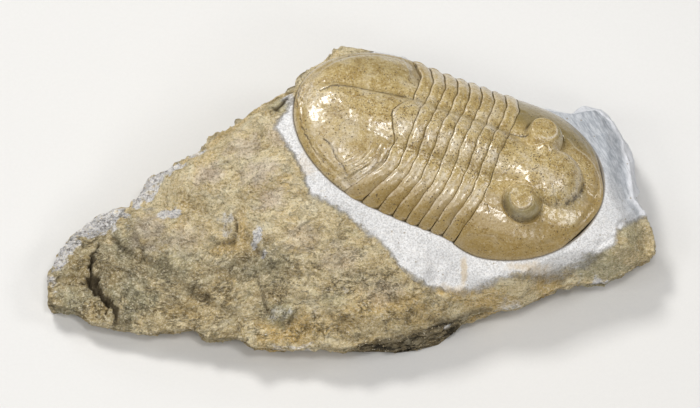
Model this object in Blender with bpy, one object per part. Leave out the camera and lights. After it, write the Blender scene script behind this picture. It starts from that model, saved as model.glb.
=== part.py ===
"""A complete asaphid trilobite, back up, bedded in a wedge of limestone.

Eleven separate pieces: the rock, the head shield, eight thoracic segments and the tail
shield. Sizes are in millimetres and become metres where a mesh is made. The shell is laid out
in the animal's own axes: x from the tip of the tail to the front of the head, y to the
animal's left, z up from its bedding plane. It lies head-down and turned on the rock.
"""

import bpy
import bmesh
import numpy as np
from math import pi, radians
from mathutils import Matrix, Vector, noise

MM = 0.001
GAP = 0.3                    # clearance between touching pieces

# How the animal lies in the rock
TAIL_TIP = (-14.6, 22.4, 30.0)
TURN = radians(-17.0)        # about the vertical: the head swings to the front
DIP = radians(9.1)           # the head end lies lower than the tail
LEAN = radians(-2.8)         # the left side lies a little lower than the right

# Plan of the shell
LENGTH = 80.0
TAIL_CENTRE = 27.0           # the tail shield's outline is half an ellipse about this station
TAIL_REACH = 26.4
TAIL_HALF_WIDTH = 21.3
THORAX_HALF_WIDTH = 21.8
HEAD_CENTRE = 55.0           # the head shield's outline is an ellipse about this station
HEAD_HALF_WIDTH = 22.8
NOSE_TAPER = 0.2             # how far the front of the head narrows to its blunt point
SEGMENTS = 8
NECK = 52.8                  # the joint between head and thorax, on the axial furrow
SEGMENT_PITCH = 3.16
FURROW_AT = 0.31             # the axial furrow and the fulcrum, as shares of the half width
FULCRUM_AT = 0.60
FULCRUM_ROUND = 0.03         # how gently the joints bend at the fulcrum
BOW = (0.3, 3.0)             # arc of the joints over the axis: at the neck, and gained by the tail
SWEEP = (3.6, 4.2)           # backward sweep of the flanks: at the neck, and gained by the tail

# Relief of the shell, as (station along the body, value)
MARGIN_RISE = ((0, 6.0), (10, 5.2), (24, 3.2), (34, 1.8), (46, 1.1), (54, -0.6), (64, 0.9),
               (72, 2.2), (80, 4.2))
CREST = ((0, 6.0), (2, 7.6), (5, 9.2), (10, 10.4), (18, 10.6), (27, 10.3), (40, 10.2),
         (53, 10.0), (60, 9.8), (66, 8.8), (70, 7.8), (74, 6.6), (77, 5.6), (80, 4.2))
LOBE_HALF_WIDTH = ((0, 1.5), (8, 3.8), (16, 5.0), (27, 6.6), (40, 6.9), (53, 6.6), (60, 5.2))
LOBE_RISE = ((0, 0.0), (3, 0.0), (8, 0.9), (16, 1.8), (27, 3.0), (40, 3.4), (53, 2.8),
             (58, 1.0), (62, 0.0), (80, 0.0))
GLABELLA_HALF_WIDTH = ((50, 6.4), (57, 5.2), (60, 5.4), (64, 7.2), (67, 7.8), (70, 7.2),
                       (72.5, 5.6), (75, 2.5), (80, 2.0))
GLABELLA_RISE = ((50, 0.0), (53, 0.0), (57, 1.3), (60, 2.2), (65, 3.3), (69, 3.1), (72, 2.2),
                 (74.2, 0.6), (75.2, 0.0), (80, 0.0))
FURROW_DEPTH = 0.35
BAND_RISE = 0.35             # each ring's swell between its joints, and as much again over the axis
RING_OVERLAP = 0.25          # how much higher a ring's rear edge stands than its front edge
TIP_TUCK = 0.45              # the front corner of each flank tucks in under the one before it
FACET_WIDTH = 5.0            # the bevelled front corner of the tail shield, and its depth
FACET_DEPTH = 1.1
BORDER_AT = 0.93             # the groove inside the tail's border, as shares of the outline
BORDER_SPREAD = 0.03
BORDER_DEPTH = 0.25
EYE_STATION = 60.6
EYE_OFFSET = 10.6
EYE_CAP_RADIUS = 3.0
EYE_CAP_DOME = 0.4
EYE_BASE_RADIUS = 4.6
EYE_RISE = 2.8               # from the cheek to the top of the cap
EYE_GROOVE = 0.45            # depth of the groove round the outer foot of the eye
BED = -1.6                   # the flat underside that every plate is cut to

# Facets across and along each piece
SEGMENT_GRID = (24, 3)
TAIL_GRID = (24, 20)
HEAD_GRID = (34, 26)
ROCK_GRID = (54, 30)
FLANK_SHARE = 0.30           # share of a shield's outline that makes each flank side of its grid
TOUCH = 1e-4                 # two places closer than this are the same

# The rock's rim, anticlockwise from the left tip: x, y, height, and how far its foot stands
# out from the rim (negative where the edge is undercut). The corners part it into four sides.
FRONT_RIM = ((-74.2, -20.7, 6.0, -1.5), (-67.6, -22.6, 6.0, -2.6), (-63.4, -26.0, 6.0, -3.2),
             (-56.6, -27.4, 6.5, -3.6), (-49.0, -28.9, 7.0, -3.9), (-38.0, -28.7, 8.0, -4.4),
             (-35.5, -30.7, 8.0, -4.5), (-28.0, -31.2, 8.5, -4.8), (-24.1, -34.3, 8.5, -5.0),
             (-19.0, -33.8, 8.5, -5.0), (-10.8, -34.0, 8.5, -5.0), (-2.5, -34.8, 9.0, -4.8),
             (1.5, -34.5, 10.0, -4.2), (6.8, -32.8, 11.0, -2.4), (11.7, -32.3, 11.0, -1.6),
             (16.1, -30.5, 11.0, -0.4), (21.8, -29.1, 11.0, -0.6), (25.9, -27.2, 11.0, -1.8),
             (31.5, -24.4, 10.5, -4.6), (36.6, -24.3, 10.0, -5.4), (42.0, -23.3, 10.0, -5.6),
             (47.7, -19.3, 9.5, -5.4), (52.0, -17.3, 9.5, -5.2), (57.1, -16.0, 9.5, -5.0),
             (62.8, -16.0, 9.5, -4.8), (68.2, -13.4, 10.0, -4.4), (71.5, -10.4, 10.5, -4.0),
             (74.7, -8.7, 11.0, -3.6))
RIGHT_RIM = ((74.7, -8.7, 11.0, -3.6), (74.7, -3.5, 12.0, -3.0), (72.5, 1.0, 12.8, -1.6),
             (70.0, 4.3, 13.5, -0.4), (69.5, 7.6, 14.2, 0.6), (68.8, 13.5, 14.8, 1.4),
             (67.7, 18.9, 15.0, 2.0), (67.5, 21.4, 15.2, 2.2), (64.6, 25.8, 15.5, 2.6),
             (61.1, 28.7, 16.0, 3.0))
BACK_RIM = ((61.1, 28.7, 16.0, 3.0), (58.2, 28.7, 16.5, 3.2), (54.6, 27.6, 17.0, 3.4),
            (46.6, 28.5, 17.3, 3.4), (39.0, 30.5, 18.8, 3.6), (29.5, 32.6, 21.8, 3.8),
            (20.2, 35.3, 24.5, 4.0), (10.9, 37.5, 27.9, 4.2), (1.7, 37.6, 31.0, 4.4),
            (-2.2, 37.6, 32.0, 4.2))
LEFT_RIM = ((-2.2, 37.6, 32.0, 4.2), (-4.9, 34.1, 32.5, 4.2), (-8.8, 31.1, 33.5, 4.2),
            (-12.0, 27.1, 34.3, 4.0), (-13.8, 23.2, 34.8, 4.0), (-16.8, 23.4, 33.6, 3.6),
            (-21.1, 22.0, 31.0, 3.6), (-27.9, 18.1, 28.5, 3.6), (-31.3, 16.5, 27.0, 3.4),
            (-36.3, 12.1, 24.5, 3.2), (-39.3, 11.4, 23.5, 3.2), (-44.8, 8.9, 21.5, 3.0),
            (-48.6, 8.0, 20.5, 3.0), (-50.1, 5.5, 19.0, 2.8), (-53.0, 1.3, 16.0, 2.6),
            (-57.1, 1.3, 15.5, 2.6), (-62.1, -0.5, 14.0, 2.4), (-66.8, -3.2, 12.0, 2.0),
            (-70.6, -6.8, 10.5, 1.6), (-72.3, -9.6, 9.5, 1.0), (-73.5, -13.6, 8.0, 0.4),
            (-74.0, -17.8, 7.0, -0.4), (-74.2, -20.7, 6.0, -1.5))
BED_SHOULDER = 32.0          # how far the level round the shell reaches out into the rock
BAND_DROP = 0.35             # the rock stands this far below the shell's edge
RIM_BAND = 0.06              # share of the face beside the rim that eases to the rim's height
RECESS_TOP = 20.0            # the recess is open above this height over the shell's underside

# The natural face is a shelf that breaks down to the front: how far it stands above the
# straight slope from rim to rim, against the share of the way from the front to the back
FACE_SWELL = ((0.0, 0.0), (0.12, 3.6), (0.25, 6.0), (0.45, 5.2), (0.7, 3.0), (1.0, 0.0))
SHELF_FULL = (0.12, 0.7)     # the shelf is whole between these shares of the rock's length

# Broken steps and cracks across the natural faces: a path in plan, how much lower the ground
# is on its right-hand side, and how deep and how wide the crack along it is
STEPS = (
    (((-63.1, -1.6), (-62.8, -9.9), (-64.2, -14.6), (-62.1, -20.3), (-55.5, -27.5)),
     1.4, 3.0, 1.2),
    (((-56.0, -3.0), (-55.2, -8.4), (-52.0, -12.9), (-44.2, -17.1), (-40.5, -19.7),
      (-35.6, -22.5), (-30.0, -26.0)), 1.8, 0.8, 1.2),
    (((-28.0, -2.6), (-28.0, -10.8), (-36.6, -10.3)), -1.0, 0.5, 1.0),
    (((-27.5, -9.7), (-24.5, -12.6), (-20.0, -14.8)), 0.5, 0.6, 1.0),
    (((-22.6, -19.2), (-21.6, -23.6), (-19.1, -26.1), (-14.7, -27.0), (-12.0, -24.4)),
     1.9, 0.7, 1.0),
    (((-34.0, -17.4), (-24.0, -16.2), (-11.0, -18.6), (2.0, -20.4), (12.0, -22.6)),
     1.0, 0.5, 1.4),
    (((74.0, 0.5), (69.9, -1.2), (66.0, -3.6), (65.0, -8.2), (59.9, -11.3), (52.0, -14.4),
      (44.7, -16.6), (38.0, -19.6)), -1.8, 0.8, 1.2),
)
STEP_FADE = (1.5, 11.0)      # a step's drop fades out between these distances from its path
LUMP_HEIGHT = 3.0            # broad swells of the natural face, and how far apart they stand
LUMP_SPACING = 13.0
WALL_RELIEF = 0.16           # bulges of the broken side walls, as a share of their height
WALL_LUMPS = 9.0             # how far apart those bulges stand

# Courses of the side walls: height as a share of the rim's, share of the way out to the foot,
# and share of the full bulge
WALL_COURSES = ((0.72, 0.35, 1.0), (0.46, 0.5, 1.0), (0.2, 0.95, 0.6), (0.0, 1.0, 0.0))


def clear_scene():
    for item in list(bpy.data.objects):
        bpy.data.objects.remove(item, do_unlink=True)


def stone_material(name, colour, roughness):
    material = bpy.data.materials.new(name)
    material.use_nodes = True
    shader = material.node_tree.nodes["Principled BSDF"]
    shader.inputs["Base Color"].default_value = (*colour, 1.0)
    shader.inputs["Roughness"].default_value = roughness
    shader.inputs["Metallic"].default_value = 0.0
    return material


def smooth_step(low, high, value):
    share = np.clip((value - low) / (high - low), 0.0, 1.0)
    return share * share * (3.0 - 2.0 * share)


def through(stations, x):
    """A smooth curve through (station, value) pairs, read at x."""
    at, value = np.array(stations, dtype=float).T
    slope = np.gradient(value, at)
    i = np.clip(np.searchsorted(at, x) - 1, 0, len(at) - 2)
    span = at[i + 1] - at[i]
    t = np.clip((x - at[i]) / span, 0.0, 1.0)
    start = (2 * t**3 - 3 * t**2 + 1) * value[i] + (t**3 - 2 * t**2 + t) * span * slope[i]
    end = (3 * t**2 - 2 * t**3) * value[i + 1] + (t**3 - t**2) * span * slope[i + 1]
    return start + end


def half_width(x):
    """Half the width of the whole shell at a station along the body."""
    tail = 1.0 - np.clip((TAIL_CENTRE - x) / TAIL_REACH, 0.0, 1.0) ** 2
    tail = TAIL_HALF_WIDTH * np.sqrt(tail)
    thorax = np.interp(x, (TAIL_CENTRE, NECK), (TAIL_HALF_WIDTH, THORAX_HALF_WIDTH))
    reach = np.clip((x - HEAD_CENTRE) / (LENGTH - HEAD_CENTRE), -1.0, 1.0)
    head = HEAD_HALF_WIDTH * np.sqrt(1.0 - reach**2)
    head = head * (1.0 - NOSE_TAPER * smooth_step(0.75, 1.0, reach))
    return np.where(x < TAIL_CENTRE, tail, np.where(x < NECK - 4.0, thorax, head))


def joint_line(index, side):
    """Station of a joint at side, from -1 at the right margin to 1 at the left one.

    Joint 0 lies behind the head. Each runs back in an arc over the axis, straight out to the
    fulcrum, and from there sweeps back to the margin.
    """
    share = index / SEGMENTS
    bow = BOW[0] + BOW[1] * share**1.5
    sweep = SWEEP[0] + SWEEP[1] * share**4
    out = np.abs(side)
    arc = bow * np.clip(1.0 - (out / FURROW_AT) ** 2, 0.0, 1.0)
    past = (out - FULCRUM_AT) / (1.0 - FULCRUM_AT)
    fall = sweep * (past + np.sqrt(past**2 + FULCRUM_ROUND)) / 2
    return NECK - SEGMENT_PITCH * index - arc - fall


def shell_height(x, y):
    """Height of the shell's smooth form above the bedding plane."""
    margin = through(MARGIN_RISE, x)
    side = np.clip(np.abs(y) / np.maximum(half_width(x), 0.05), 0.0, 1.0)
    height = margin + (through(CREST, x) - margin) * (1.0 - side**3.2) ** 0.8
    lobe = np.abs(y) / through(LOBE_HALF_WIDTH, x)
    height = height + through(LOBE_RISE, x) * np.clip(1.0 - lobe**2, 0.0, 1.0) ** 0.8
    furrow = FURROW_DEPTH * np.exp(-(((lobe - 1.06) / 0.14) ** 2))
    height = height - furrow * smooth_step(4.0, 12.0, x) * (1.0 - smooth_step(53.0, 58.0, x))
    glabella = np.clip(1.0 - (y / through(GLABELLA_HALF_WIDTH, x)) ** 2, 0.0, 1.0)
    height = height + through(GLABELLA_RISE, x) * glabella ** 0.6
    return height


def eye_relief(x, y):
    """A squat turret: a domed cap, a steep outer face and a groove round its foot."""
    along = x - EYE_STATION
    across = np.abs(y) - EYE_OFFSET
    reach = np.hypot(along, across)
    inner = smooth_step(0.2, -0.9, across / np.maximum(reach, 0.01))
    foot = EYE_BASE_RADIUS + 0.8 * inner
    wall = 1.0 - smooth_step(EYE_CAP_RADIUS, foot, reach)
    dome = EYE_CAP_DOME * np.clip(1.0 - (reach / EYE_CAP_RADIUS) ** 2, 0.0, 1.0)
    groove = EYE_GROOVE * np.exp(-(((reach - foot - 0.3) / 0.55) ** 2)) * (1.0 - 0.8 * inner)
    return (EYE_RISE - EYE_CAP_DOME) * wall + dome - groove


def mapped_plate(name, facets, place, collection, material):
    """A grid laid over a plate by place(side, share), then cut down to the flat bed."""
    bm = bmesh.new()
    bmesh.ops.create_grid(bm, x_segments=facets[0], y_segments=facets[1], size=1.0)
    flat = np.array([vert.co[:2] for vert in bm.verts])
    x, y, z = place(flat[:, 0], 0.5 + 0.5 * flat[:, 1])
    for vert, point in zip(bm.verts, np.stack((x, y, z), axis=1)):
        vert.co = Vector(point)
    top = bm.faces[:]
    skirt = bmesh.ops.extrude_face_region(bm, geom=top)
    for item in skirt["geom"]:
        if isinstance(item, bmesh.types.BMVert):
            item.co.z = BED
    bmesh.ops.triangulate(bm, faces=top, quad_method="SHORT_EDGE")
    under = [face for face in bm.faces
             if all(abs(vert.co.z - BED) < TOUCH for vert in face.verts)]
    bmesh.ops.dissolve_faces(bm, faces=under)
    bmesh.ops.recalc_face_normals(bm, faces=bm.faces)
    return finish_piece(name, bm, collection, material)


def finish_piece(name, bm, collection, material):
    bmesh.ops.scale(bm, vec=(MM, MM, MM), verts=bm.verts)
    mesh = bpy.data.meshes.new(name)
    bm.to_mesh(mesh)
    bm.free()
    mesh.shade_smooth()
    mesh.set_sharp_from_angle(angle=radians(35.0))
    mesh.materials.append(material)
    piece = bpy.data.objects.new(name, mesh)
    collection.objects.link(piece)
    return piece


def add_segment(index, collection, material):
    """One ring of the thorax: a raised band between the joints before and behind it."""

    def place(side, share):
        front = joint_line(index - 1, side) - GAP / 2
        rear = joint_line(index, side) + GAP / 2
        x = rear + (front - rear) * share
        tuck = TIP_TUCK * share**2 * smooth_step(0.85, 1.0, np.abs(side))
        y = side * (half_width(x) - tuck)
        over_axis = 1.0 - smooth_step(0.7, 1.1, np.abs(side) / FURROW_AT)
        band = BAND_RISE * (1.0 + over_axis) * np.sin(pi * share)
        overlap = RING_OVERLAP * (0.5 - share)
        fade = 1.0 - smooth_step(0.9, 1.0, np.abs(side))
        return x, y, shell_height(x, y) + (band + overlap) * fade

    return mapped_plate(f"thoracic_segment_{index}", SEGMENT_GRID, place, collection, material)


def four_sided(left, right, front, back, u, v):
    """The surface between four edge curves, each a function of its own share."""
    blend = ((1 - v) * front(u).T + v * back(u).T + (1 - u) * left(v).T + u * right(v).T)
    corners = ((1 - u) * (1 - v) * front(np.zeros_like(u)).T
               + u * (1 - v) * front(np.ones_like(u)).T
               + (1 - u) * v * back(np.zeros_like(u)).T
               + u * v * back(np.ones_like(u)).T)
    return (blend - corners).T


def shield_outline(centre, reach, corner):
    """Edge point of a shield's elliptic end at a share of the way round it."""

    def edge(share):
        turn = (2.0 * share - 1.0) * corner
        x = centre + reach * np.cos(turn)
        return np.stack((x, np.sign(turn) * half_width(x)), axis=1)

    return edge


def add_shield(name, joint, centre, reach, relief, facets, collection, material):
    """A head or tail shield: a straight-jointed side and an elliptic end, with its relief.

    The end is parted into a right flank, an end arc and a left flank, which with the jointed
    side make the four sides of a grid.
    """
    forward = 1.0 if reach > 0 else -1.0
    tip = joint_line(joint, np.ones(1))[0] + forward * GAP / 2
    corner = np.arccos((tip - centre) / reach)
    end = shield_outline(centre, reach, corner)

    def jointed(share):
        side = 2.0 * share - 1.0
        x = joint_line(joint, side) + forward * GAP / 2
        return np.stack((x, side * half_width(x)), axis=1)

    def place(side, share):
        u = 0.5 + 0.5 * side
        point = four_sided(lambda v: end(FLANK_SHARE * v),
                           lambda v: end(1.0 - FLANK_SHARE * v),
                           jointed,
                           lambda s: end(FLANK_SHARE + (1.0 - 2.0 * FLANK_SHARE) * s),
                           u, share)
        x, y = point[:, 0], point[:, 1]
        return x, y, shell_height(x, y) + relief(x, y)

    return mapped_plate(name, facets, place, collection, material)


def add_pygidium(collection, material):
    def relief(x, y):
        radial = np.hypot((TAIL_CENTRE - x) / TAIL_REACH, y / TAIL_HALF_WIDTH)
        side = y / np.maximum(half_width(x), 0.05)
        behind = joint_line(SEGMENTS, side) - x
        facet = (1.0 - smooth_step(0.0, FACET_WIDTH, behind)) * smooth_step(0.5, 0.7, np.abs(side))
        border = np.exp(-(((radial - BORDER_AT) / BORDER_SPREAD) ** 2))
        bevel = FACET_DEPTH * facet * (1.0 - smooth_step(0.9, 1.0, radial))
        return -bevel - BORDER_DEPTH * border

    return add_shield("pygidium", SEGMENTS, TAIL_CENTRE, -TAIL_REACH, relief, TAIL_GRID,
                      collection, material)


def add_cephalon(collection, material):
    return add_shield("cephalon", 0, HEAD_CENTRE, LENGTH - HEAD_CENTRE, eye_relief, HEAD_GRID,
                      collection, material)


def fossil_axes():
    turn = Matrix.Rotation(TURN, 4, "Z")
    dip = Matrix.Rotation(DIP, 4, "Y")
    lean = Matrix.Rotation(LEAN, 4, "X")
    return Matrix.Translation(Vector(TAIL_TIP)) @ turn @ dip @ lean


def along_rim(rim, share):
    """The point and foot of a rim at a share of its length."""
    rim = np.array(rim)
    step = np.linalg.norm(np.diff(rim[:, :2], axis=0), axis=1)
    at = np.concatenate(([0.0], np.cumsum(step)))
    return np.stack([np.interp(share * at[-1], at, column) for column in rim.T], axis=1)


def path_distance(path, x, y):
    """Distance from a path in plan, positive on its left and negative on its right."""
    nearest = np.full(x.shape, 1e9)
    signed = np.zeros(x.shape)
    path = np.array(path)
    for start, end in zip(path[:-1], path[1:]):
        run = end - start
        t = np.clip(((x - start[0]) * run[0] + (y - start[1]) * run[1]) / (run @ run), 0, 1)
        dx = x - start[0] - t * run[0]
        dy = y - start[1] - t * run[1]
        away = np.hypot(dx, dy)
        closer = away < nearest
        nearest = np.where(closer, away, nearest)
        signed = np.where(closer, np.sign(run[0] * dy - run[1] * dx) * away, signed)
    return signed


def rock_height(x, y, height, inland):
    """Height of the rock's upper face: the rim's blend, the fossil's bed, lumps and steps.

    inland runs from 0 at the rim, which keeps its own height, to 1 well inside it.
    """
    axes = np.array(fossil_axes())
    back = np.linalg.inv(axes)
    z = height.copy()
    for _ in range(4):
        own = back[:3, :3] @ np.stack((x, y, z)) + back[:3, 3:4]
        body_x = np.clip(own[0], 0.0, LENGTH)
        tail = np.hypot((own[0] - TAIL_CENTRE) / TAIL_REACH, own[1] / TAIL_HALF_WIDTH)
        head_reach = (own[0] - HEAD_CENTRE) / (LENGTH - HEAD_CENTRE)
        head = np.hypot(head_reach, own[1] / HEAD_HALF_WIDTH)
        away = np.abs(own[1]) - half_width(np.clip(own[0], TAIL_CENTRE, HEAD_CENTRE))
        away = np.where(own[0] < TAIL_CENTRE, (tail - 1.0) * TAIL_HALF_WIDTH, away)
        away = np.where(own[0] > HEAD_CENTRE, (head - 1.0) * HEAD_HALF_WIDTH, away)
        level = through(MARGIN_RISE, body_x) - BAND_DROP
        bed = axes[2, 0] * body_x + axes[2, 1] * own[1] + axes[2, 2] * level + axes[2, 3]
        near = np.clip(1.0 - away / BED_SHOULDER, 0.0, 1.0) ** 1.5
        z = height + (bed - height) * near * inland
    wild = smooth_step(1.0, 7.0, away)
    lumps = np.array([noise.fractal(Vector((px, py, 3.7)) / LUMP_SPACING, 0.8, 2.1, 4)
                      for px, py in zip(x, y)])
    z = z + LUMP_HEIGHT * lumps * wild
    for path, drop, depth, width in STEPS:
        signed = path_distance(path, x, y)
        fade = 1.0 - smooth_step(*STEP_FADE, np.abs(signed))
        right = smooth_step(0.6, -0.6, signed)
        z = z + fade * (0.5 - right) * drop * wild
        z = z - depth * np.exp(-((signed / width) ** 2)) * wild
    return z


def add_matrix(collection, material):
    """The wedge: its upper face between the four rims, broken side walls and a flat foot."""
    bm = bmesh.new()
    bmesh.ops.create_grid(bm, x_segments=ROCK_GRID[0], y_segments=ROCK_GRID[1], size=1.0)
    grid = np.array([vert.co[:2] for vert in bm.verts]) * 0.5 + 0.5
    surface = four_sided(lambda v: along_rim(LEFT_RIM, 1.0 - v),
                         lambda v: along_rim(RIGHT_RIM, v),
                         lambda u: along_rim(FRONT_RIM, u),
                         lambda u: along_rim(BACK_RIM, 1.0 - u),
                         grid[:, 0], grid[:, 1])
    x, y, height, foot = surface.T
    shelf = smooth_step(0.0, SHELF_FULL[0], grid[:, 0])
    shelf = shelf * (1.0 - smooth_step(SHELF_FULL[1], 1.0, grid[:, 0]))
    height = height + through(FACE_SWELL, grid[:, 1]) * shelf
    inland = smooth_step(0.0, RIM_BAND, np.min(np.stack((grid, 1.0 - grid)), axis=(0, 2)))
    z = rock_height(x, y, height, inland)
    for vert, point in zip(bm.verts, np.stack((x, y, z), axis=1)):
        vert.co = Vector(point)
    rim = rim_loop(bm, grid)
    feet = [foot[vert.index] for vert in rim]
    add_walls(bm, rim, feet)
    bmesh.ops.triangulate(bm, faces=[face for face in bm.faces if len(face.verts) == 4],
                          quad_method="SHORT_EDGE")
    bmesh.ops.recalc_face_normals(bm, faces=bm.faces)
    return finish_piece("matrix", bm, collection, material)


def rim_loop(bm, grid):
    """The grid's outer vertices, anticlockwise from its front left corner."""
    bm.verts.index_update()
    edge = [vert for vert in bm.verts if vert.is_boundary]
    turn = {}
    for vert in edge:
        u, v = grid[vert.index]
        if v < TOUCH:
            turn[vert] = u
        elif u > 1.0 - TOUCH:
            turn[vert] = 1.0 + v
        elif v > 1.0 - TOUCH:
            turn[vert] = 3.0 - u
        else:
            turn[vert] = 4.0 - v
    return sorted(edge, key=turn.get)


def add_walls(bm, rim, feet):
    """Courses of broken wall from the rim down to the flat foot."""
    count = len(rim)
    outward = []
    for i in range(count):
        run = rim[(i + 2) % count].co - rim[i - 2].co
        outward.append(Vector((run.y, -run.x, 0.0)).normalized())
    above = rim
    for level, reach, rough in WALL_COURSES:
        ring = []
        for i, vert in enumerate(rim):
            spot = Vector((vert.co.x, vert.co.y, 2.0 * vert.co.z * level)) / WALL_LUMPS
            bulge = rough * WALL_RELIEF * vert.co.z * abs(noise.fractal(spot, 1.0, 2.0, 3))
            place = vert.co + outward[i] * (feet[i] * reach + bulge)
            ring.append(bm.verts.new((place.x, place.y, vert.co.z * level)))
        for i in range(count):
            j = (i + 1) % count
            bm.faces.new((above[i], above[j], ring[j], ring[i]))
        above = ring
    bm.faces.new(above)


def bed_cutter(collection):
    """The recess that the shell lies in: its outline, a gap wider, and a gap below its bed."""
    steps = 40
    tail = TAIL_CENTRE - TAIL_REACH * np.cos(np.linspace(0.0, pi / 2, steps))
    head = HEAD_CENTRE + (LENGTH - HEAD_CENTRE) * np.sin(np.linspace(0.0, pi / 2, steps))
    thorax = np.linspace(TAIL_CENTRE + 1.0, HEAD_CENTRE - 1.0, steps // 2)
    x = np.concatenate((tail, thorax, head))
    right = np.stack((x, -half_width(x)), axis=1)
    left = np.stack((x[::-1], half_width(x[::-1])), axis=1)[1:-1]
    loop = np.concatenate((right, left))
    run = np.roll(loop, -1, axis=0) - np.roll(loop, 1, axis=0)
    outward = np.stack((run[:, 1], -run[:, 0]), axis=1)
    outward = outward / np.linalg.norm(outward, axis=1)[:, None]
    loop = loop + outward * GAP
    bm = bmesh.new()
    floor = bm.faces.new([bm.verts.new((px, py, BED - GAP)) for px, py in loop])
    roof = bmesh.ops.extrude_face_region(bm, geom=[floor])
    lift = [item for item in roof["geom"] if isinstance(item, bmesh.types.BMVert)]
    bmesh.ops.translate(bm, vec=(0.0, 0.0, RECESS_TOP), verts=lift)
    bmesh.ops.recalc_face_normals(bm, faces=bm.faces)
    cutter = finish_piece("bed_cutter", bm, collection, bpy.data.materials["limestone"])
    cutter.hide_render = True
    cutter.display_type = "WIRE"
    return cutter


def main():
    clear_scene()
    scene = bpy.context.scene
    parts = bpy.data.collections.new("trilobite_fossil")
    cutters = bpy.data.collections.new("cutters")
    scene.collection.children.link(parts)
    scene.collection.children.link(cutters)
    shell = stone_material("shell", (0.42, 0.27, 0.12), 0.35)
    limestone = stone_material("limestone", (0.50, 0.42, 0.29), 0.9)

    matrix = add_matrix(parts, limestone)
    plates = [add_cephalon(parts, shell)]
    plates += [add_segment(index, parts, shell) for index in range(1, SEGMENTS + 1)]
    plates.append(add_pygidium(parts, shell))
    cutter = bed_cutter(cutters)

    corners = np.array([vert.co[:] for vert in matrix.data.vertices])
    middle = (corners.min(axis=0) + corners.max(axis=0)) / 2
    specimen = bpy.data.objects.new("specimen", None)
    parts.objects.link(specimen)
    specimen.location = (-middle[0], -middle[1], 0.0)
    lie = fossil_axes()
    lie.translation *= MM
    for piece in [matrix, cutter] + plates:
        piece.parent = specimen
    for piece in [cutter] + plates:
        piece.matrix_local = lie

    cut = matrix.modifiers.new("bed", "BOOLEAN")
    cut.operation = "DIFFERENCE"
    cut.solver = "EXACT"
    cut.object = cutter


main()
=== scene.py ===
"""A complete trilobite on its limestone: the table and its light, the rock, then the shell."""

import bmesh
import bpy
import numpy as np
from math import cos, pi, radians, sin
from mathutils import Matrix, Vector, noise


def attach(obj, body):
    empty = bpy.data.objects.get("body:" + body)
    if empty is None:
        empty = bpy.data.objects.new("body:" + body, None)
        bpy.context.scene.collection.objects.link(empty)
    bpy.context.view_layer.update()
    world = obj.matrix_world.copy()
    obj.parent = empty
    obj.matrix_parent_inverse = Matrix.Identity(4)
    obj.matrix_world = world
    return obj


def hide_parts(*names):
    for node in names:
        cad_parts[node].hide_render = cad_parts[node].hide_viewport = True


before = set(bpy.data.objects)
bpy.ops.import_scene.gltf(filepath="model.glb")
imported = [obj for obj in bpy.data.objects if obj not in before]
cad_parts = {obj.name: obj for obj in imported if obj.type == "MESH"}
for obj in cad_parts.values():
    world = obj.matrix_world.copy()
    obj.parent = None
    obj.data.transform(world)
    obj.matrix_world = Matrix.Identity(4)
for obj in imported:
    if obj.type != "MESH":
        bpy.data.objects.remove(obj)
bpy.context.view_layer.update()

# ---------------------------------------------------------------------------------------------
# The table and its light. The specimen lies on a plain pale table, under a broad soft light
# from above, with a soft box on each side of the lens and a cool one low behind its left end.
# ---------------------------------------------------------------------------------------------
PIXEL = 0.0002454            # metres across one of the image's 700 columns, at the specimen
LENS_HEIGHT = radians(61.4)  # of the line of sight over the table
LENS_AWAY = 3.0
SPECIMEN = Vector((-0.00025, -0.0040425, 0.0))   # from the rock's own plan to the table


class Signal:
    """A socket's value on its way through a tree of nodes. Sums between signals add Math."""

    def __init__(self, web, socket):
        self.web = web
        self.socket = socket

    def math(self, operation, *values):
        return self.web.node("ShaderNodeMath", {"operation": operation}, values)

    def __add__(self, other):
        return self.math("ADD", self, other)

    def __radd__(self, other):
        return self.math("ADD", other, self)

    def __sub__(self, other):
        return self.math("SUBTRACT", self, other)

    def __rsub__(self, other):
        return self.math("SUBTRACT", other, self)

    def __mul__(self, other):
        return self.math("MULTIPLY", self, other)

    def __rmul__(self, other):
        return self.math("MULTIPLY", other, self)

    def __truediv__(self, other):
        return self.math("DIVIDE", self, other)

    def __pow__(self, other):
        return self.math("POWER", self, other)

    def __abs__(self):
        return self.math("ABSOLUTE", self)

    def least(self, other):
        return self.math("MINIMUM", self, other)

    def most(self, other):
        return self.math("MAXIMUM", self, other)

    def clip(self):
        return self.most(0.0).least(1.0)

    def bell(self):
        """1 at zero, falling away on both sides of it."""
        return self.math("EXPONENT", 0.0 - self * self)

    def step(self, low, high):
        """0 up to low, 1 from high, and smooth between them."""
        share = ((self - low) / (high - low)).clip()
        return share * share * (3.0 - 2.0 * share)


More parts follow.
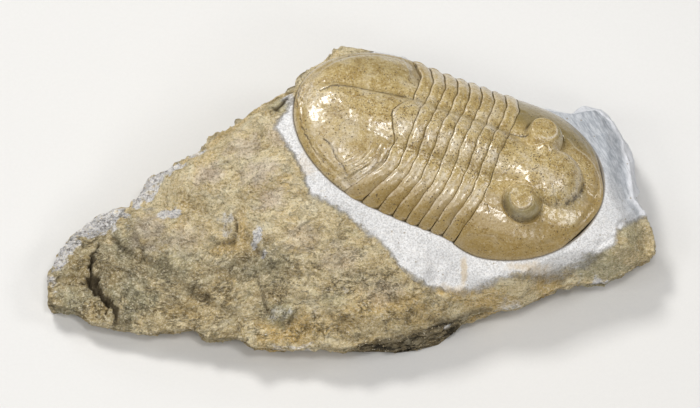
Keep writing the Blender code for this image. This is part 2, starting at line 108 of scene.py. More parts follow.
class Web:
    """A tree of nodes that is being wired."""

    def __init__(self, tree):
        self.tree = tree

    def node(self, kind, settings=None, values=(), out=0):
        made = self.tree.nodes.new(kind)
        for name, value in (settings or {}).items():
            if name == "stops":
                ramp = made.color_ramp.elements
                while len(ramp) < len(value):
                    ramp.new(1.0)
                for stop, (at, colour) in zip(ramp, value):
                    stop.position = at
                    stop.color = (*colour, 1.0)
            elif name == "points":
                line = made.mapping.curves[0]
                while len(line.points) < len(value):
                    line.points.new(1.0, 1.0)
                for point, place in zip(line.points, value):
                    point.location = place
                    point.handle_type = "VECTOR"
                made.mapping.update()
            else:
                setattr(made, name, value)
        pairs = values.items() if isinstance(values, dict) else enumerate(values)
        for key, value in pairs:
            if isinstance(value, Signal):
                self.tree.links.new(value.socket, made.inputs[key])
            else:
                made.inputs[key].default_value = value
        return Signal(self, made.outputs[out]) if made.outputs else None

    def blend(self, share, first, second, how="MIX"):
        """Between two colours: first at 0 and second at 1."""
        settings = {"data_type": "RGBA", "blend_type": how}
        return self.node("ShaderNodeMix", settings, {0: share, 6: first, 7: second}, 2)

    def grain(self, where, spacing, detail=4.0, roughness=0.6, warp=0.0):
        """Soft noise from 0 to 1 whose lumps are about spacing mm apart."""
        values = {"Vector": where, "Scale": 1.0 / spacing, "Detail": detail,
                  "Roughness": roughness, "Distortion": warp}
        return self.node("ShaderNodeTexNoise", {}, values, "Fac")

    def cells(self, where, spacing, out="Distance", feature="F1"):
        values = {"Vector": where, "Scale": 1.0 / spacing, "Randomness": 1.0}
        return self.node("ShaderNodeTexVoronoi", {"feature": feature}, values, out)

    def bent(self, where, spacing, reach):
        """The same places pushed about by noise, so that a pattern on them wanders."""
        values = {"Vector": where, "Scale": 1.0 / spacing, "Detail": 3.0}
        push = self.node("ShaderNodeTexNoise", {}, values, "Color")
        settings = {"operation": "MULTIPLY_ADD"}
        return self.node("ShaderNodeVectorMath", settings, (push, (reach,) * 3, where))

    def attribute(self, name, out="Fac"):
        return self.node("ShaderNodeAttribute", {"attribute_name": name}, (), out)

    def in_millimetres(self, spread=(1.0, 1.0, 1.0)):
        """Place on the specimen in mm, stretched by spread so that a pattern gets a grain."""
        place = self.node("ShaderNodeTexCoord", {}, (), "Object")
        scale = tuple(1000.0 * share for share in spread)
        return self.node("ShaderNodeVectorMath", {"operation": "MULTIPLY"}, (place, scale))


def surface(name):
    """A new material and the web of its nodes, cleared but for its output."""
    material = bpy.data.materials.new(name)
    material.use_nodes = True
    tree = material.node_tree
    tree.nodes.clear()
    return material, Web(tree)


def finish_surface(web, values, heights):
    """The Principled shader with its bumps: heights in mm, each with its strength."""
    normal = None
    for height, strength in heights:
        bump = {"Strength": strength, "Distance": 0.001, "Height": height}
        if normal is not None:
            bump["Normal"] = normal
        normal = web.node("ShaderNodeBump", {}, bump)
    values["Normal"] = normal
    shader = web.node("ShaderNodeBsdfPrincipled", {}, values)
    web.node("ShaderNodeOutputMaterial", {}, {"Surface": shader})


def add_light(name, azimuth, height, away, width, watts, colour):
    """A square soft box that faces the specimen. Azimuth 0 is in front and 90 on the right."""
    light = bpy.data.lights.new(name, "AREA")
    light.energy = watts
    light.size = width
    light.color = colour
    box = bpy.data.objects.new(name, light)
    turn, rise = radians(azimuth), radians(height)
    toward = Vector((sin(turn) * cos(rise), -cos(turn) * cos(rise), sin(rise)))
    box.location = toward * away
    box.rotation_euler = toward.to_track_quat("Z", "Y").to_euler()
    bpy.context.scene.collection.objects.link(box)


aim = SPECIMEN + Vector((0.0, 0.0, 0.020))
lens = bpy.data.cameras.new("camera")
lens.sensor_width = 36.0
lens.lens = 36.0 * LENS_AWAY / (700 * PIXEL)
lens.clip_end = 100.0
camera = bpy.data.objects.new("camera", lens)
camera.location = aim + LENS_AWAY * Vector((0.0, -cos(LENS_HEIGHT), sin(LENS_HEIGHT)))
camera.rotation_euler = (pi / 2 - LENS_HEIGHT, 0.0, 0.0)
bpy.context.scene.collection.objects.link(camera)
bpy.context.scene.camera = camera
bpy.context.scene.view_settings.view_transform = "Standard"

add_light("key_light_behind", -142.0, 56.0, 1.1, 0.26, 6.3, (1.0, 0.99, 0.97))
add_light("fill_light_front", -8.0, 58.0, 1.2, 0.60, 1.8, (1.0, 0.99, 0.97))
add_light("soft_box_left", -58.0, 46.0, 1.0, 0.36, 1.65, (1.0, 0.99, 0.98))
add_light("soft_box_right", 92.0, 42.0, 1.0, 0.24, 1.7, (1.0, 0.99, 0.99))
add_light("soft_box_front", 32.0, 44.0, 1.0, 0.20, 0.9, (1.0, 0.99, 0.98))
add_light("soft_box_top", 19.0, 73.0, 1.0, 0.15, 2.3, (1.0, 1.0, 1.0))
add_light("cool_light_behind", -140.0, 22.0, 1.0, 0.30, 1.2, (0.84, 0.91, 1.0))
world = bpy.data.worlds.new("studio")
world.use_nodes = True
world.node_tree.nodes["Background"].inputs["Color"].default_value = (0.95, 0.97, 1.0, 1.0)
world.node_tree.nodes["Background"].inputs["Strength"].default_value = 0.17
bpy.context.scene.world = world

table_top = bpy.data.meshes.new("table")
table_top.from_pydata([(-3.0, -3.0, 0.0), (3.0, -3.0, 0.0), (3.0, 3.0, 0.0), (-3.0, 3.0, 0.0)],
                      [], [(0, 1, 2, 3)])
table_finish, web = surface("pale_table")
speck = web.grain(web.in_millimetres(), 0.8)
tone = web.blend(speck, (0.70, 0.69, 0.67, 1.0), (0.74, 0.73, 0.71, 1.0))
finish_surface(web, {"Base Color": tone, "Roughness": 0.85}, [(speck, 0.05)])
table_top.materials.append(table_finish)
table = bpy.data.objects.new("table", table_top)
bpy.context.scene.collection.objects.link(table)

# ---------------------------------------------------------------------------------------------
# The rock. A wedge of thin-bedded grey limestone, weathered tan and ochre outside. It was split
# by hand, then blasted clean with fine powder round the shell, which left that ground pale and
# stippled, and dressed with a steel point on the slope behind the head, down to bluish stone.
# ---------------------------------------------------------------------------------------------
MM = 0.001
TAIL_TIP = (-14.6, 22.4, 30.0)
TURN = radians(-17.0)
DIP = radians(9.1)
LEAN = radians(-2.8)
LENGTH = 80.0
TAIL_CENTRE = 27.0
TAIL_REACH = 26.4
TAIL_HALF_WIDTH = 21.3
THORAX_HALF_WIDTH = 21.8
HEAD_CENTRE = 55.0
HEAD_HALF_WIDTH = 22.8
NOSE_TAPER = 0.2
NECK = 52.8
MARGIN_RISE = ((0, 6.0), (10, 5.2), (24, 3.2), (34, 1.8), (46, 1.1), (54, -0.6), (64, 0.9),
               (72, 2.2), (80, 4.2))
FRONT_RIM = ((-74.2, -20.7, 6.0, -1.5), (-67.6, -22.6, 6.0, -2.6), (-63.4, -26.0, 6.0, -3.2),
             (-56.6, -27.4, 6.5, -3.6), (-49.0, -28.9, 7.0, -3.9), (-38.0, -28.7, 8.0, -4.4),
             (-35.5, -30.7, 8.0, -4.5), (-28.0, -31.2, 8.5, -4.8), (-24.1, -34.3, 8.5, -5.0),
             (-19.0, -33.8, 8.5, -5.0), (-10.8, -34.0, 8.5, -5.0), (-2.5, -34.8, 9.0, -4.8),
             (1.5, -34.5, 10.0, -4.2), (6.8, -32.8, 11.0, -2.4), (11.7, -32.3, 11.0, -1.6),
             (16.1, -30.5, 11.0, -0.4), (21.8, -29.1, 11.0, -0.6), (25.9, -27.2, 11.0, -1.8),
             (31.5, -24.4, 10.5, -4.6), (36.6, -24.3, 10.0, -5.4), (42.0, -23.3, 10.0, -5.6),
             (47.7, -19.3, 9.5, -5.4), (52.0, -17.3, 9.5, -5.2), (57.1, -16.0, 9.5, -5.0),
             (62.8, -16.0, 9.5, -4.8), (68.2, -13.4, 10.0, -4.4), (71.5, -10.4, 10.5, -4.0),
             (74.7, -8.7, 11.0, -3.6))
RIGHT_RIM = ((74.7, -8.7, 11.0, -3.6), (74.7, -3.5, 12.0, -3.0), (72.5, 1.0, 12.8, -1.6),
             (70.0, 4.3, 13.5, -0.4), (69.5, 7.6, 14.2, 0.6), (68.8, 13.5, 14.8, 1.4),
             (67.7, 18.9, 15.0, 2.0), (67.5, 21.4, 15.2, 2.2), (64.6, 25.8, 15.5, 2.6),
             (61.1, 28.7, 15.3, 3.0))
BACK_RIM = ((61.1, 28.7, 15.3, 3.0), (58.2, 28.7, 15.0, 3.2), (54.6, 27.6, 15.4, 3.4),
            (46.6, 28.5, 17.3, 3.4), (39.0, 30.5, 18.8, 3.6), (29.5, 32.6, 21.8, 3.8),
            (20.2, 35.3, 24.5, 4.0), (10.9, 37.5, 27.9, 4.2), (1.7, 37.6, 31.0, 4.4),
            (-2.2, 37.6, 32.0, 4.2))
LEFT_RIM = ((-2.2, 37.6, 32.0, 4.2), (-4.9, 34.1, 32.5, 4.2), (-8.8, 31.1, 33.5, 4.2),
            (-12.0, 27.1, 34.3, 4.0), (-13.8, 23.2, 34.8, 4.0), (-16.8, 23.4, 33.6, 3.6),
            (-21.1, 22.0, 31.0, 3.6), (-27.9, 18.1, 28.5, 3.6), (-31.3, 16.5, 27.0, 3.4),
            (-36.3, 12.1, 24.5, 3.2), (-39.3, 11.4, 23.5, 3.2), (-44.8, 8.9, 21.5, 3.0),
            (-48.6, 8.0, 20.5, 3.0), (-50.1, 5.5, 19.0, 2.8), (-53.0, 1.3, 16.0, 2.6),
            (-57.1, 1.3, 15.5, 2.6), (-62.1, -0.5, 14.0, 2.4), (-66.8, -3.2, 12.0, 2.0),
            (-70.6, -6.8, 10.5, 1.6), (-72.3, -9.6, 9.5, 1.0), (-73.5, -13.6, 8.0, 0.4),
            (-74.0, -17.8, 7.0, -0.4), (-74.2, -20.7, 6.0, -1.5))
BED = -1.6
BED_SHOULDER = 32.0
BAND_DROP = 0.35
RIM_BAND = 0.06
FACE_SWELL = ((0.0, 0.0), (0.12, 3.6), (0.25, 6.0), (0.45, 5.2), (0.7, 3.0), (1.0, 0.0))
SHELF_FULL = (0.12, 0.7)
STEPS = (
    (((-62.2, -5.4), (-61.9, -7.7), (-63.2, -9.4), (-63.4, -12.6), (-63.6, -15.1), (-63.0, -16.9),
      (-60.8, -20.1), (-59.1, -22.3), (-57.4, -24.3), (-55.6, -26.2)),
     1.4, 3.3, 0.74),
    (((-54.0, -3.6), (-52.7, -6.9), (-52.0, -9.0), (-50.3, -11.5), (-45.7, -13.6), (-43.3, -16.3),
      (-39.2, -20.1), (-35.1, -22.2), (-30.0, -25.4)), 2.2, 0.25, 0.40),
    (((-34.0, -17.0), (-25.7, -15.0), (-20.8, -18.3), (-14.7, -19.8), (-9.0, -20.4)),
     0.7, 0.0, 1.4),
    (((74.0, 0.5), (69.9, -1.2), (66.0, -3.6), (65.0, -8.2), (59.9, -11.3), (52.0, -14.4),
      (44.7, -16.6), (38.0, -19.6)), -0.7, 0.0, 1.0),
)
STEP_FADE = 11.0
CRACK_FADE = 3.0
LUMP_HEIGHT = 2.4
LUMP_SPACING = 13.0
WALL_RELIEF = 0.16
WALL_LUMPS = 9.0
WALL_COURSES = ((0.72, 0.35, 1.0), (0.46, 0.5, 1.0), (0.2, 0.95, 0.6), (0.0, 1.0, 0.0))
FOLD_CENTRE = (-52.0, -14.0)  # the beds swing round here
ROCK_GRID = (350, 190)
WALL_ROWS = 24

# Ground that was worked clean of weathering: its outline in plan
CLEANED = ((-15.0, 19.0), (-18.4, 13.1), (-16.0, 9.9), (-13.5, 5.5), (-11.5, 1.1), (-10.0, -3.0),
           (-5.8, -5.4), (-1.0, -7.1), (1.5, -9.1), (5.6, -12.3), (9.6, -16.0), (12.0, -19.5),
           (16.1, -22.3), (20.2, -23.2), (26.9, -23.0), (38.9, -20.1), (44.7, -18.8),
           (52.0, -15.8), (59.9, -13.2), (64.9, -10.9), (65.3, -7.3), (70.1, -1.8),
           (73.5, 0.5), (82.0, 10.0), (72.0, 44.0), (24.0, 52.0), (9.0, 44.0), (3.0, 34.0),
           (-8.0, 28.0), (-12.2, 22.0))
CLEANED_FRAY = 12.0          # how unevenly the cleaned ground ends on the hidden walls
# Fine cracks and small broken steps of the weathered face: path, drop, depth and width
CRACKS = (
    (((-28.3, -5.5), (-27.7, -8.6), (-28.2, -11.6), (-31.9, -10.9), (-34.4, -9.4)),
     -1.50, 0.62, 0.24),
    (((-25.3, -11.0), (-22.8, -13.5), (-20.4, -16.6)), 0.90, 0.62, 0.28),
    (((-22.5, -20.4), (-21.2, -23.0), (-20.8, -24.6), (-18.8, -27.4), (-17.1, -28.6),
      (-14.3, -28.2), (-13.5, -26.6)), 1.65, 0.62, 0.26),
    (((-6.2, -22.6), (-6.6, -23.8), (-5.9, -24.8), (-4.6, -24.9)), 0.56, 0.38, 0.25),
    (((-2.8, -22.9), (-2.1, -24.0), (-0.6, -24.1)), 0.56, 0.38, 0.25),
    (((-6.7, -28.2), (-5.6, -27.6), (-4.6, -28.0), (-4.2, -29.2), (-3.3, -29.9), (-0.8, -29.6)),
     0.45, 0.46, 0.25),
    (((-23.3, 16.2), (-21.9, 14.5), (-21.4, 12.4), (-22.2, 10.9)), 0.28, 0.31, 0.25),
    (((-12.4, -10.9), (-9.6, -9.4)), 0.56, 0.24, 0.25),
    (((-31.8, 5.7), (-28.2, 6.3), (-26.0, 6.1)), 0.34, 0.24, 0.30),
    (((-36.6, -0.6), (-33.6, -0.4), (-31.1, -1.9), (-28.0, -2.2)), 0.34, 0.27, 0.30),
    (((-46.0, 2.0), (-43.0, 0.4), (-39.0, 0.9)), 0.28, 0.19, 0.30),
    (((-18.9, 17.8), (-16.7, 19.7), (-14.6, 22.6)), 0.56, 0.93, 0.40),
    (((-20.5, 20.0), (-18.5, 18.6), (-16.5, 17.0)), -0.34, 0.46, 0.30),
    (((-58.8, -5.9), (-56.3, -8.6), (-53.8, -10.4), (-51.8, -12.2)), 1.05, 0.62, 0.26),
    (((-60.6, -12.6), (-58.4, -13.8), (-55.2, -14.9), (-51.5, -17.5), (-46.6, -20.4)),
     0.67, 0.31, 0.30),
    (((-66.0, -2.6), (-62.8, -4.2), (-59.0, -4.0), (-55.6, -2.4)), -0.45, 0.31, 0.30),
    (((-49.0, -15.4), (-44.0, -19.6), (-40.0, -24.6)), 0.56, 0.31, 0.30),
    (((38.7, -20.0), (42.6, -19.7), (48.5, -17.2), (51.5, -16.6), (54.4, -15.3), (59.8, -13.4),
      (62.8, -12.7)), 0.56, 0.38, 0.28),
    (((14.0, -27.8), (22.0, -28.4), (26.5, -27.0), (31.0, -24.4), (36.8, -23.7)),
     0.67, 0.55, 0.35),
    (((27.4, -16.0), (27.9, -18.5), (28.6, -20.5), (30.4, -21.8)), 0.00, 0.17, 0.30),
)
# Stains of the weathered face: where, how far they reach along and across, and how strong. The chalky blots
# along the left crest and the lowest edges paint the highlight there as well as chalk, and the dull blots
# paint shade over the broken left end, a band below a ridge and the low front.
STAINS = {
    "chalky": ((-60.0, -1.5, 5.0, 3.2, 1.0), (-65.0, -2.8, 3.5, 2.2, 1.0),
               (-68.8, -5.6, 3.0, 2.4, 0.9), (-71.6, -9.6, 2.0, 3.0, 0.9),
               (-73.2, -14.5, 1.4, 4.0, 0.7), (-51.5, 3.2, 2.6, 3.2, 0.9),
               (-48.5, 6.8, 3.2, 2.6, 1.0), (-43.6, 8.7, 4.0, 1.7, 0.8),
               (-38.0, 11.4, 3.4, 1.3, 0.6), (-44.1, -3.4, 3.3, 1.3, 0.85),
               (-30.3, -7.6, 1.9, 3.4, 0.5), (-22.8, -11.8, 1.3, 1.7, 0.9),
               (-20.8, -15.5, 0.9, 0.9, 0.8), (-16.9, -26.6, 2.9, 1.8, 0.5),
               (-4.9, -23.5, 1.2, 1.1, 0.4), (-8.3, -28.0, 1.5, 3.2, 0.35),
               (-1.2, -23.3, 1.0, 0.8, 0.4), (-15.0, -33.4, 8.0, 0.7, 0.5),
               (62.0, -16.6, 5.6, 1.3, 0.8), (40.0, -23.6, 4.0, 1.1, 0.5),
               (-15.4, 21.0, 2.6, 2.2, 0.5)),
    "ochre": ((-16.0, -30.6, 9.0, 3.0, 0.9), (-4.0, -30.0, 7.0, 3.0, 0.6),
              (-66.0, -13.5, 3.4, 5.0, 0.8), (-62.0, -22.5, 4.0, 3.0, 0.9),
              (-38.0, -24.5, 8.0, 3.5, 0.5), (-26.4, -8.6, 1.7, 4.2, 0.6),
              (-58.0, -16.5, 2.6, 3.6, 0.6), (4.0, -27.5, 8.0, 3.5, 0.6),
              (50.0, -18.2, 9.0, 1.6, 0.7), (70.0, -8.0, 4.0, 3.5, 0.4),
              (14.0, -27.5, 8.0, 2.5, 0.6), (-30.5, -12.4, 4.5, 1.4, 0.6),
              (27.9, -18.3, 0.7, 2.8, 0.9), (26.0, -23.4, 6.0, 1.6, 0.7),
              (34.0, -22.8, 4.5, 1.2, 0.7), (-11.0, 3.5, 2.5, 3.0, 0.4)),
    "olive": ((-52.5, -20.5, 5.0, 4.0, 0.8), (-67.5, -19.5, 4.0, 3.0, 0.6),
              (-56.5, -8.4, 2.6, 3.5, 0.5), (68.0, -5.5, 4.0, 5.0, 0.6),
              (62.0, -14.0, 7.0, 1.6, 0.7), (-44.0, -14.0, 6.0, 3.0, 0.5),
              (-17.5, 19.5, 3.0, 3.0, 0.6), (-3.5, -25.6, 4.0, 1.8, 0.5), (-16.9, -26.6, 3.2, 2.2, 0.8),
              (-20.0, -17.8, 5.0, 1.6, 0.5)),
    "dull": ((-60.0, -15.0, 15.0, 13.0, 0.85), (-68.0, -13.0, 7.0, 9.0, 0.8), (-24.0, -17.0, 10.0, 2.8, 0.7),
             (-42.0, -20.0, 12.0, 7.0, 0.5),
             (-30.0, -28.0, 10.0, 5.0, 0.4),
             (8.0, -31.0, 16.0, 3.0, 0.4), (64.0, -12.0, 8.0, 4.0, 0.3)),
    "lilac": ((-34.8, 4.0, 4.0, 2.6, 0.7), (-22.0, 1.8, 4.0, 3.0, 0.7), (-18.8, -4.0, 3.6, 2.4, 0.7),
              (-25.7, 9.5, 4.0, 3.6, 0.6), (-49.0, -6.5, 4.0, 4.0, 0.5), (-40.0, -9.0, 5.0, 3.0, 0.4),
              (-2.0, -17.0, 5.0, 3.0, 0.4), (-17.0, 12.0, 3.0, 4.0, 0.5), (8.0, -24.0, 5.0, 2.0, 0.4),
              (-12.0, -13.0, 4.0, 3.0, 0.4)),
}


def smooth_step(low, high, value):
    share = np.clip((value - low) / (high - low), 0.0, 1.0)
    return share * share * (3.0 - 2.0 * share)


def through(stations, x):
    """A smooth curve through (station, value) pairs, read at x."""
    at, value = np.array(stations, dtype=float).T
    slope = np.gradient(value, at)
    i = np.clip(np.searchsorted(at, x) - 1, 0, len(at) - 2)
    span = at[i + 1] - at[i]
    t = np.clip((x - at[i]) / span, 0.0, 1.0)
    start = (2 * t**3 - 3 * t**2 + 1) * value[i] + (t**3 - 2 * t**2 + t) * span * slope[i]
    end = (3 * t**2 - 2 * t**3) * value[i + 1] + (t**3 - t**2) * span * slope[i + 1]
    return start + end


def half_width(x):
    """Half the width of the whole shell at a station along the body."""
    tail = 1.0 - np.clip((TAIL_CENTRE - x) / TAIL_REACH, 0.0, 1.0) ** 2
    tail = TAIL_HALF_WIDTH * np.sqrt(tail)
    thorax = np.interp(x, (TAIL_CENTRE, NECK), (TAIL_HALF_WIDTH, THORAX_HALF_WIDTH))
    reach = np.clip((x - HEAD_CENTRE) / (LENGTH - HEAD_CENTRE), -1.0, 1.0)
    head = HEAD_HALF_WIDTH * np.sqrt(1.0 - reach**2)
    head = head * (1.0 - NOSE_TAPER * smooth_step(0.75, 1.0, reach))
    return np.where(x < TAIL_CENTRE, tail, np.where(x < NECK - 4.0, thorax, head))


def four_sided(left, right, front, back, u, v):
    """The surface between four edge curves, each a function of its own share."""
    blend = ((1 - v) * front(u).T + v * back(u).T + (1 - u) * left(v).T + u * right(v).T)
    corners = ((1 - u) * (1 - v) * front(np.zeros_like(u)).T
               + u * (1 - v) * front(np.ones_like(u)).T
               + (1 - u) * v * back(np.zeros_like(u)).T
               + u * v * back(np.ones_like(u)).T)
    return (blend - corners).T


def along_rim(rim, share):
    """The point and foot of a rim at a share of its length."""
    rim = np.array(rim)
    step = np.linalg.norm(np.diff(rim[:, :2], axis=0), axis=1)
    at = np.concatenate(([0.0], np.cumsum(step)))
    return np.stack([np.interp(share * at[-1], at, column) for column in rim.T], axis=1)


def path_distance(path, x, y):
    """Distance from a path in plan, positive on its left and negative on its right."""
    nearest = np.full(x.shape, 1e9)
    signed = np.zeros(x.shape)
    path = np.array(path)
    for start, end in zip(path[:-1], path[1:]):
        run = end - start
        t = np.clip(((x - start[0]) * run[0] + (y - start[1]) * run[1]) / (run @ run), 0, 1)
        dx = x - start[0] - t * run[0]
        dy = y - start[1] - t * run[1]
        away = np.hypot(dx, dy)
        closer = away < nearest
        nearest = np.where(closer, away, nearest)
        signed = np.where(closer, np.sign(run[0] * dy - run[1] * dx) * away, signed)
    return signed


def beyond_ends(path, x, y, signed):
    """How far a place lies past either end of a path, 0 beside the path."""
    past = np.zeros(x.shape)
    for (end_x, end_y), (next_x, next_y) in ((path[0], path[1]), (path[-1], path[-2])):
        run = np.array((end_x - next_x, end_y - next_y))
        run /= np.linalg.norm(run)
        over = (x - end_x) * run[0] + (y - end_y) * run[1]
        nearest = np.hypot(x - end_x, y - end_y) < np.abs(signed) + 1e-6
        past = np.where(nearest, np.maximum(over, 0.0), past)
    return past


def inside_distance(loop, x, y):
    """Distance inside a closed outline, negative outside it."""
    closed = np.array(loop + loop[:1])
    away = np.abs(path_distance(closed, x, y))
    within = np.zeros(x.shape, dtype=bool)
    for (ax, ay), (bx, by) in zip(closed[:-1], closed[1:]):
        if ay == by:
            continue
        crosses = (ay > y) != (by > y)
        within ^= crosses & (x < ax + (y - ay) * (bx - ax) / (by - ay))
    return np.where(within, away, -away)


def speckle(points, spacing, octaves=4, fade=0.8):
    """Fractal lumps at places in mm, stretched by a spacing for each axis."""
    return np.array([noise.fractal(Vector(point), fade, 2.1, octaves)
                     for point in points / np.array(spacing)])


def chips(points, spacing):
    """Broken facets: each cell of stone is cut to its own height and tilt."""
    heights = []
    for point in points / np.array(spacing):
        spot = Vector(point)
        centre = noise.voronoi(spot)[1][0]
        tilt = noise.cell_vector(centre * 7.3)
        heights.append(tilt.dot(spot - centre) + 0.5 * tilt.x)
    return np.array(heights)


def fossil_axes():
    turn = Matrix.Rotation(TURN, 4, "Z")
    dip = Matrix.Rotation(DIP, 4, "Y")
    lean = Matrix.Rotation(LEAN, 4, "X")
    return Matrix.Translation(Vector(TAIL_TIP)) @ turn @ dip @ lean


def outside_shell(own_x, own_y):
    """Distance outside the shell's outline, negative inside it, in the animal's own plan."""
    tail = np.hypot((own_x - TAIL_CENTRE) / TAIL_REACH, own_y / TAIL_HALF_WIDTH)
    head_reach = (own_x - HEAD_CENTRE) / (LENGTH - HEAD_CENTRE)
    head = np.hypot(head_reach, own_y / HEAD_HALF_WIDTH)
    away = np.abs(own_y) - half_width(np.clip(own_x, TAIL_CENTRE, HEAD_CENTRE))
    away = np.where(own_x < TAIL_CENTRE, (tail - 1.0) * TAIL_HALF_WIDTH, away)
    return np.where(own_x > HEAD_CENTRE, (head - 1.0) * HEAD_HALF_WIDTH, away)


def rock_height(x, y, height, inland):
    """Height of the rock's upper face, and the distance from the shell there."""
    axes = np.array(fossil_axes())
    back = np.linalg.inv(axes)
    z = height.copy()
    for _ in range(4):
        own = back[:3, :3] @ np.stack((x, y, z)) + back[:3, 3:4]
        body_x = np.clip(own[0], 0.0, LENGTH)
        away = outside_shell(own[0], own[1])
        level = through(MARGIN_RISE, body_x) - BAND_DROP
        bed = axes[2, 0] * body_x + axes[2, 1] * own[1] + axes[2, 2] * level + axes[2, 3]
        near = np.clip(1.0 - away / BED_SHOULDER, 0.0, 1.0) ** 1.5
        z = height + (bed - height) * near * inland
    wild = smooth_step(1.0, 7.0, away)
    lumps = speckle(np.stack((x, y, np.full(x.shape, 3.7)), axis=1), (LUMP_SPACING,) * 3)
    z = z + LUMP_HEIGHT * lumps * wild
    groove = np.zeros(x.shape)
    ragged = speckle(np.stack((x, y, z), axis=1), (1.8, 1.8, 1.8), 3)
    steps = [(step, STEP_FADE, 0.85) for step in STEPS]
    steps += [(crack, CRACK_FADE, 0.22) for crack in CRACKS]
    broad = speckle(np.stack((x, y, z), axis=1), (5.0, 5.0, 5.0), 3)
    for (path, drop, depth, width), reach, wander in steps:
        straight = path_distance(path, x, y)
        signed = straight + wander * ragged + 0.5 * wander * broad
        fade = 1.0 - smooth_step(0.14 * reach, reach, np.abs(signed))
        fade = fade * smooth_step(0.25 * reach, 0.0, beyond_ends(path, x, y, straight))
        right = smooth_step(0.22, -0.22, signed)
        to_end = np.minimum(np.hypot(x - path[0][0], y - path[0][1]),
                            np.hypot(x - path[-1][0], y - path[-1][1]))
        taper = smooth_step(0.02 * reach, 0.40 * reach, to_end)
        open_width = width * np.clip(0.9 + 1.4 * broad, 0.35, 1.8)
        cut = depth * taper * np.exp(-((signed / open_width) ** 2)) * smooth_step(0.7, 2.2, away)
        z = z + fade * ((0.5 - right) * drop * wild) - cut
        groove = groove + cut
    return z, away, groove


def rock_points():
    """Every vertex of the rock in mm and its faces, with what the finish needs to know."""
    columns, rows = ROCK_GRID
    u, v = np.meshgrid(np.linspace(0.0, 1.0, columns + 1), np.linspace(0.0, 1.0, rows + 1))
    u, v = u.ravel(), v.ravel()
    face = four_sided(lambda s: along_rim(LEFT_RIM, 1.0 - s), lambda s: along_rim(RIGHT_RIM, s),
                      lambda s: along_rim(FRONT_RIM, s), lambda s: along_rim(BACK_RIM, 1.0 - s),
                      u, v)
    x, y, height, foot = face.T
    shelf = smooth_step(0.0, SHELF_FULL[0], u) * (1.0 - smooth_step(SHELF_FULL[1], 1.0, u))
    height = height + through(FACE_SWELL, v) * shelf
    edge = np.min(np.stack((u, v, 1.0 - u, 1.0 - v)), axis=0)
    z, away, groove = rock_height(x, y, height, smooth_step(0.0, RIM_BAND, edge))
    index = np.arange((columns + 1) * (rows + 1)).reshape(rows + 1, columns + 1)
    quads = np.stack((index[:-1, :-1], index[:-1, 1:], index[1:, 1:], index[1:, :-1]), axis=-1)
    rim = np.concatenate((index[0, :-1], index[:-1, -1], index[-1, :0:-1], index[:0:-1, 0]))
    place = np.stack((x, y, z), axis=1)
    top = place[rim]
    run = np.roll(top, -8, axis=0) - np.roll(top, 8, axis=0)
    outward = np.stack((run[:, 1], -run[:, 0], np.zeros(len(rim))), axis=1)
    outward /= np.linalg.norm(outward, axis=1)[:, None]
    levels, reaches, roughs = np.array(((1.0, 0.0, 0.0),) + WALL_COURSES).T
    faces = [quads.reshape(-1, 4)]
    above = rim
    places = [place]
    used = len(place)
    for row in range(1, WALL_ROWS + 1):
        level = 1.0 - row / WALL_ROWS
        reach = np.interp(level, levels[::-1], reaches[::-1])
        rough = np.interp(level, levels[::-1], roughs[::-1])
        spots = np.stack((top[:, 0], top[:, 1], 2.0 * top[:, 2] * level), axis=1)
        bulge = rough * WALL_RELIEF * top[:, 2] * np.abs(speckle(spots, (WALL_LUMPS,) * 3, 3, 1.0))
        ring = top + outward * (foot[rim] * reach + bulge)[:, None]
        ring[:, 2] = top[:, 2] * level
        below = used + np.arange(len(rim))
        used += len(rim)
        faces.append(np.stack((above, np.roll(above, -1), np.roll(below, -1), below), axis=1)
                     [:, ::-1])
        places.append(ring)
        above = below
    known = {"away": away, "groove": groove, "edge": edge}
    return np.concatenate(places), np.concatenate(faces), above, known, len(rim)


def make_mesh(name, places, faces):
    mesh = bpy.data.meshes.new(name)
    mesh.from_pydata(places.tolist(), [], faces)
    mesh.validate()
    mesh.update()
    return mesh


def give(mesh, name, values):
    """A number for each vertex that the finish reads."""
    layer = mesh.attributes.new(name, "FLOAT", "POINT")
    layer.data.foreach_set("value", np.asarray(values, dtype=np.float32))


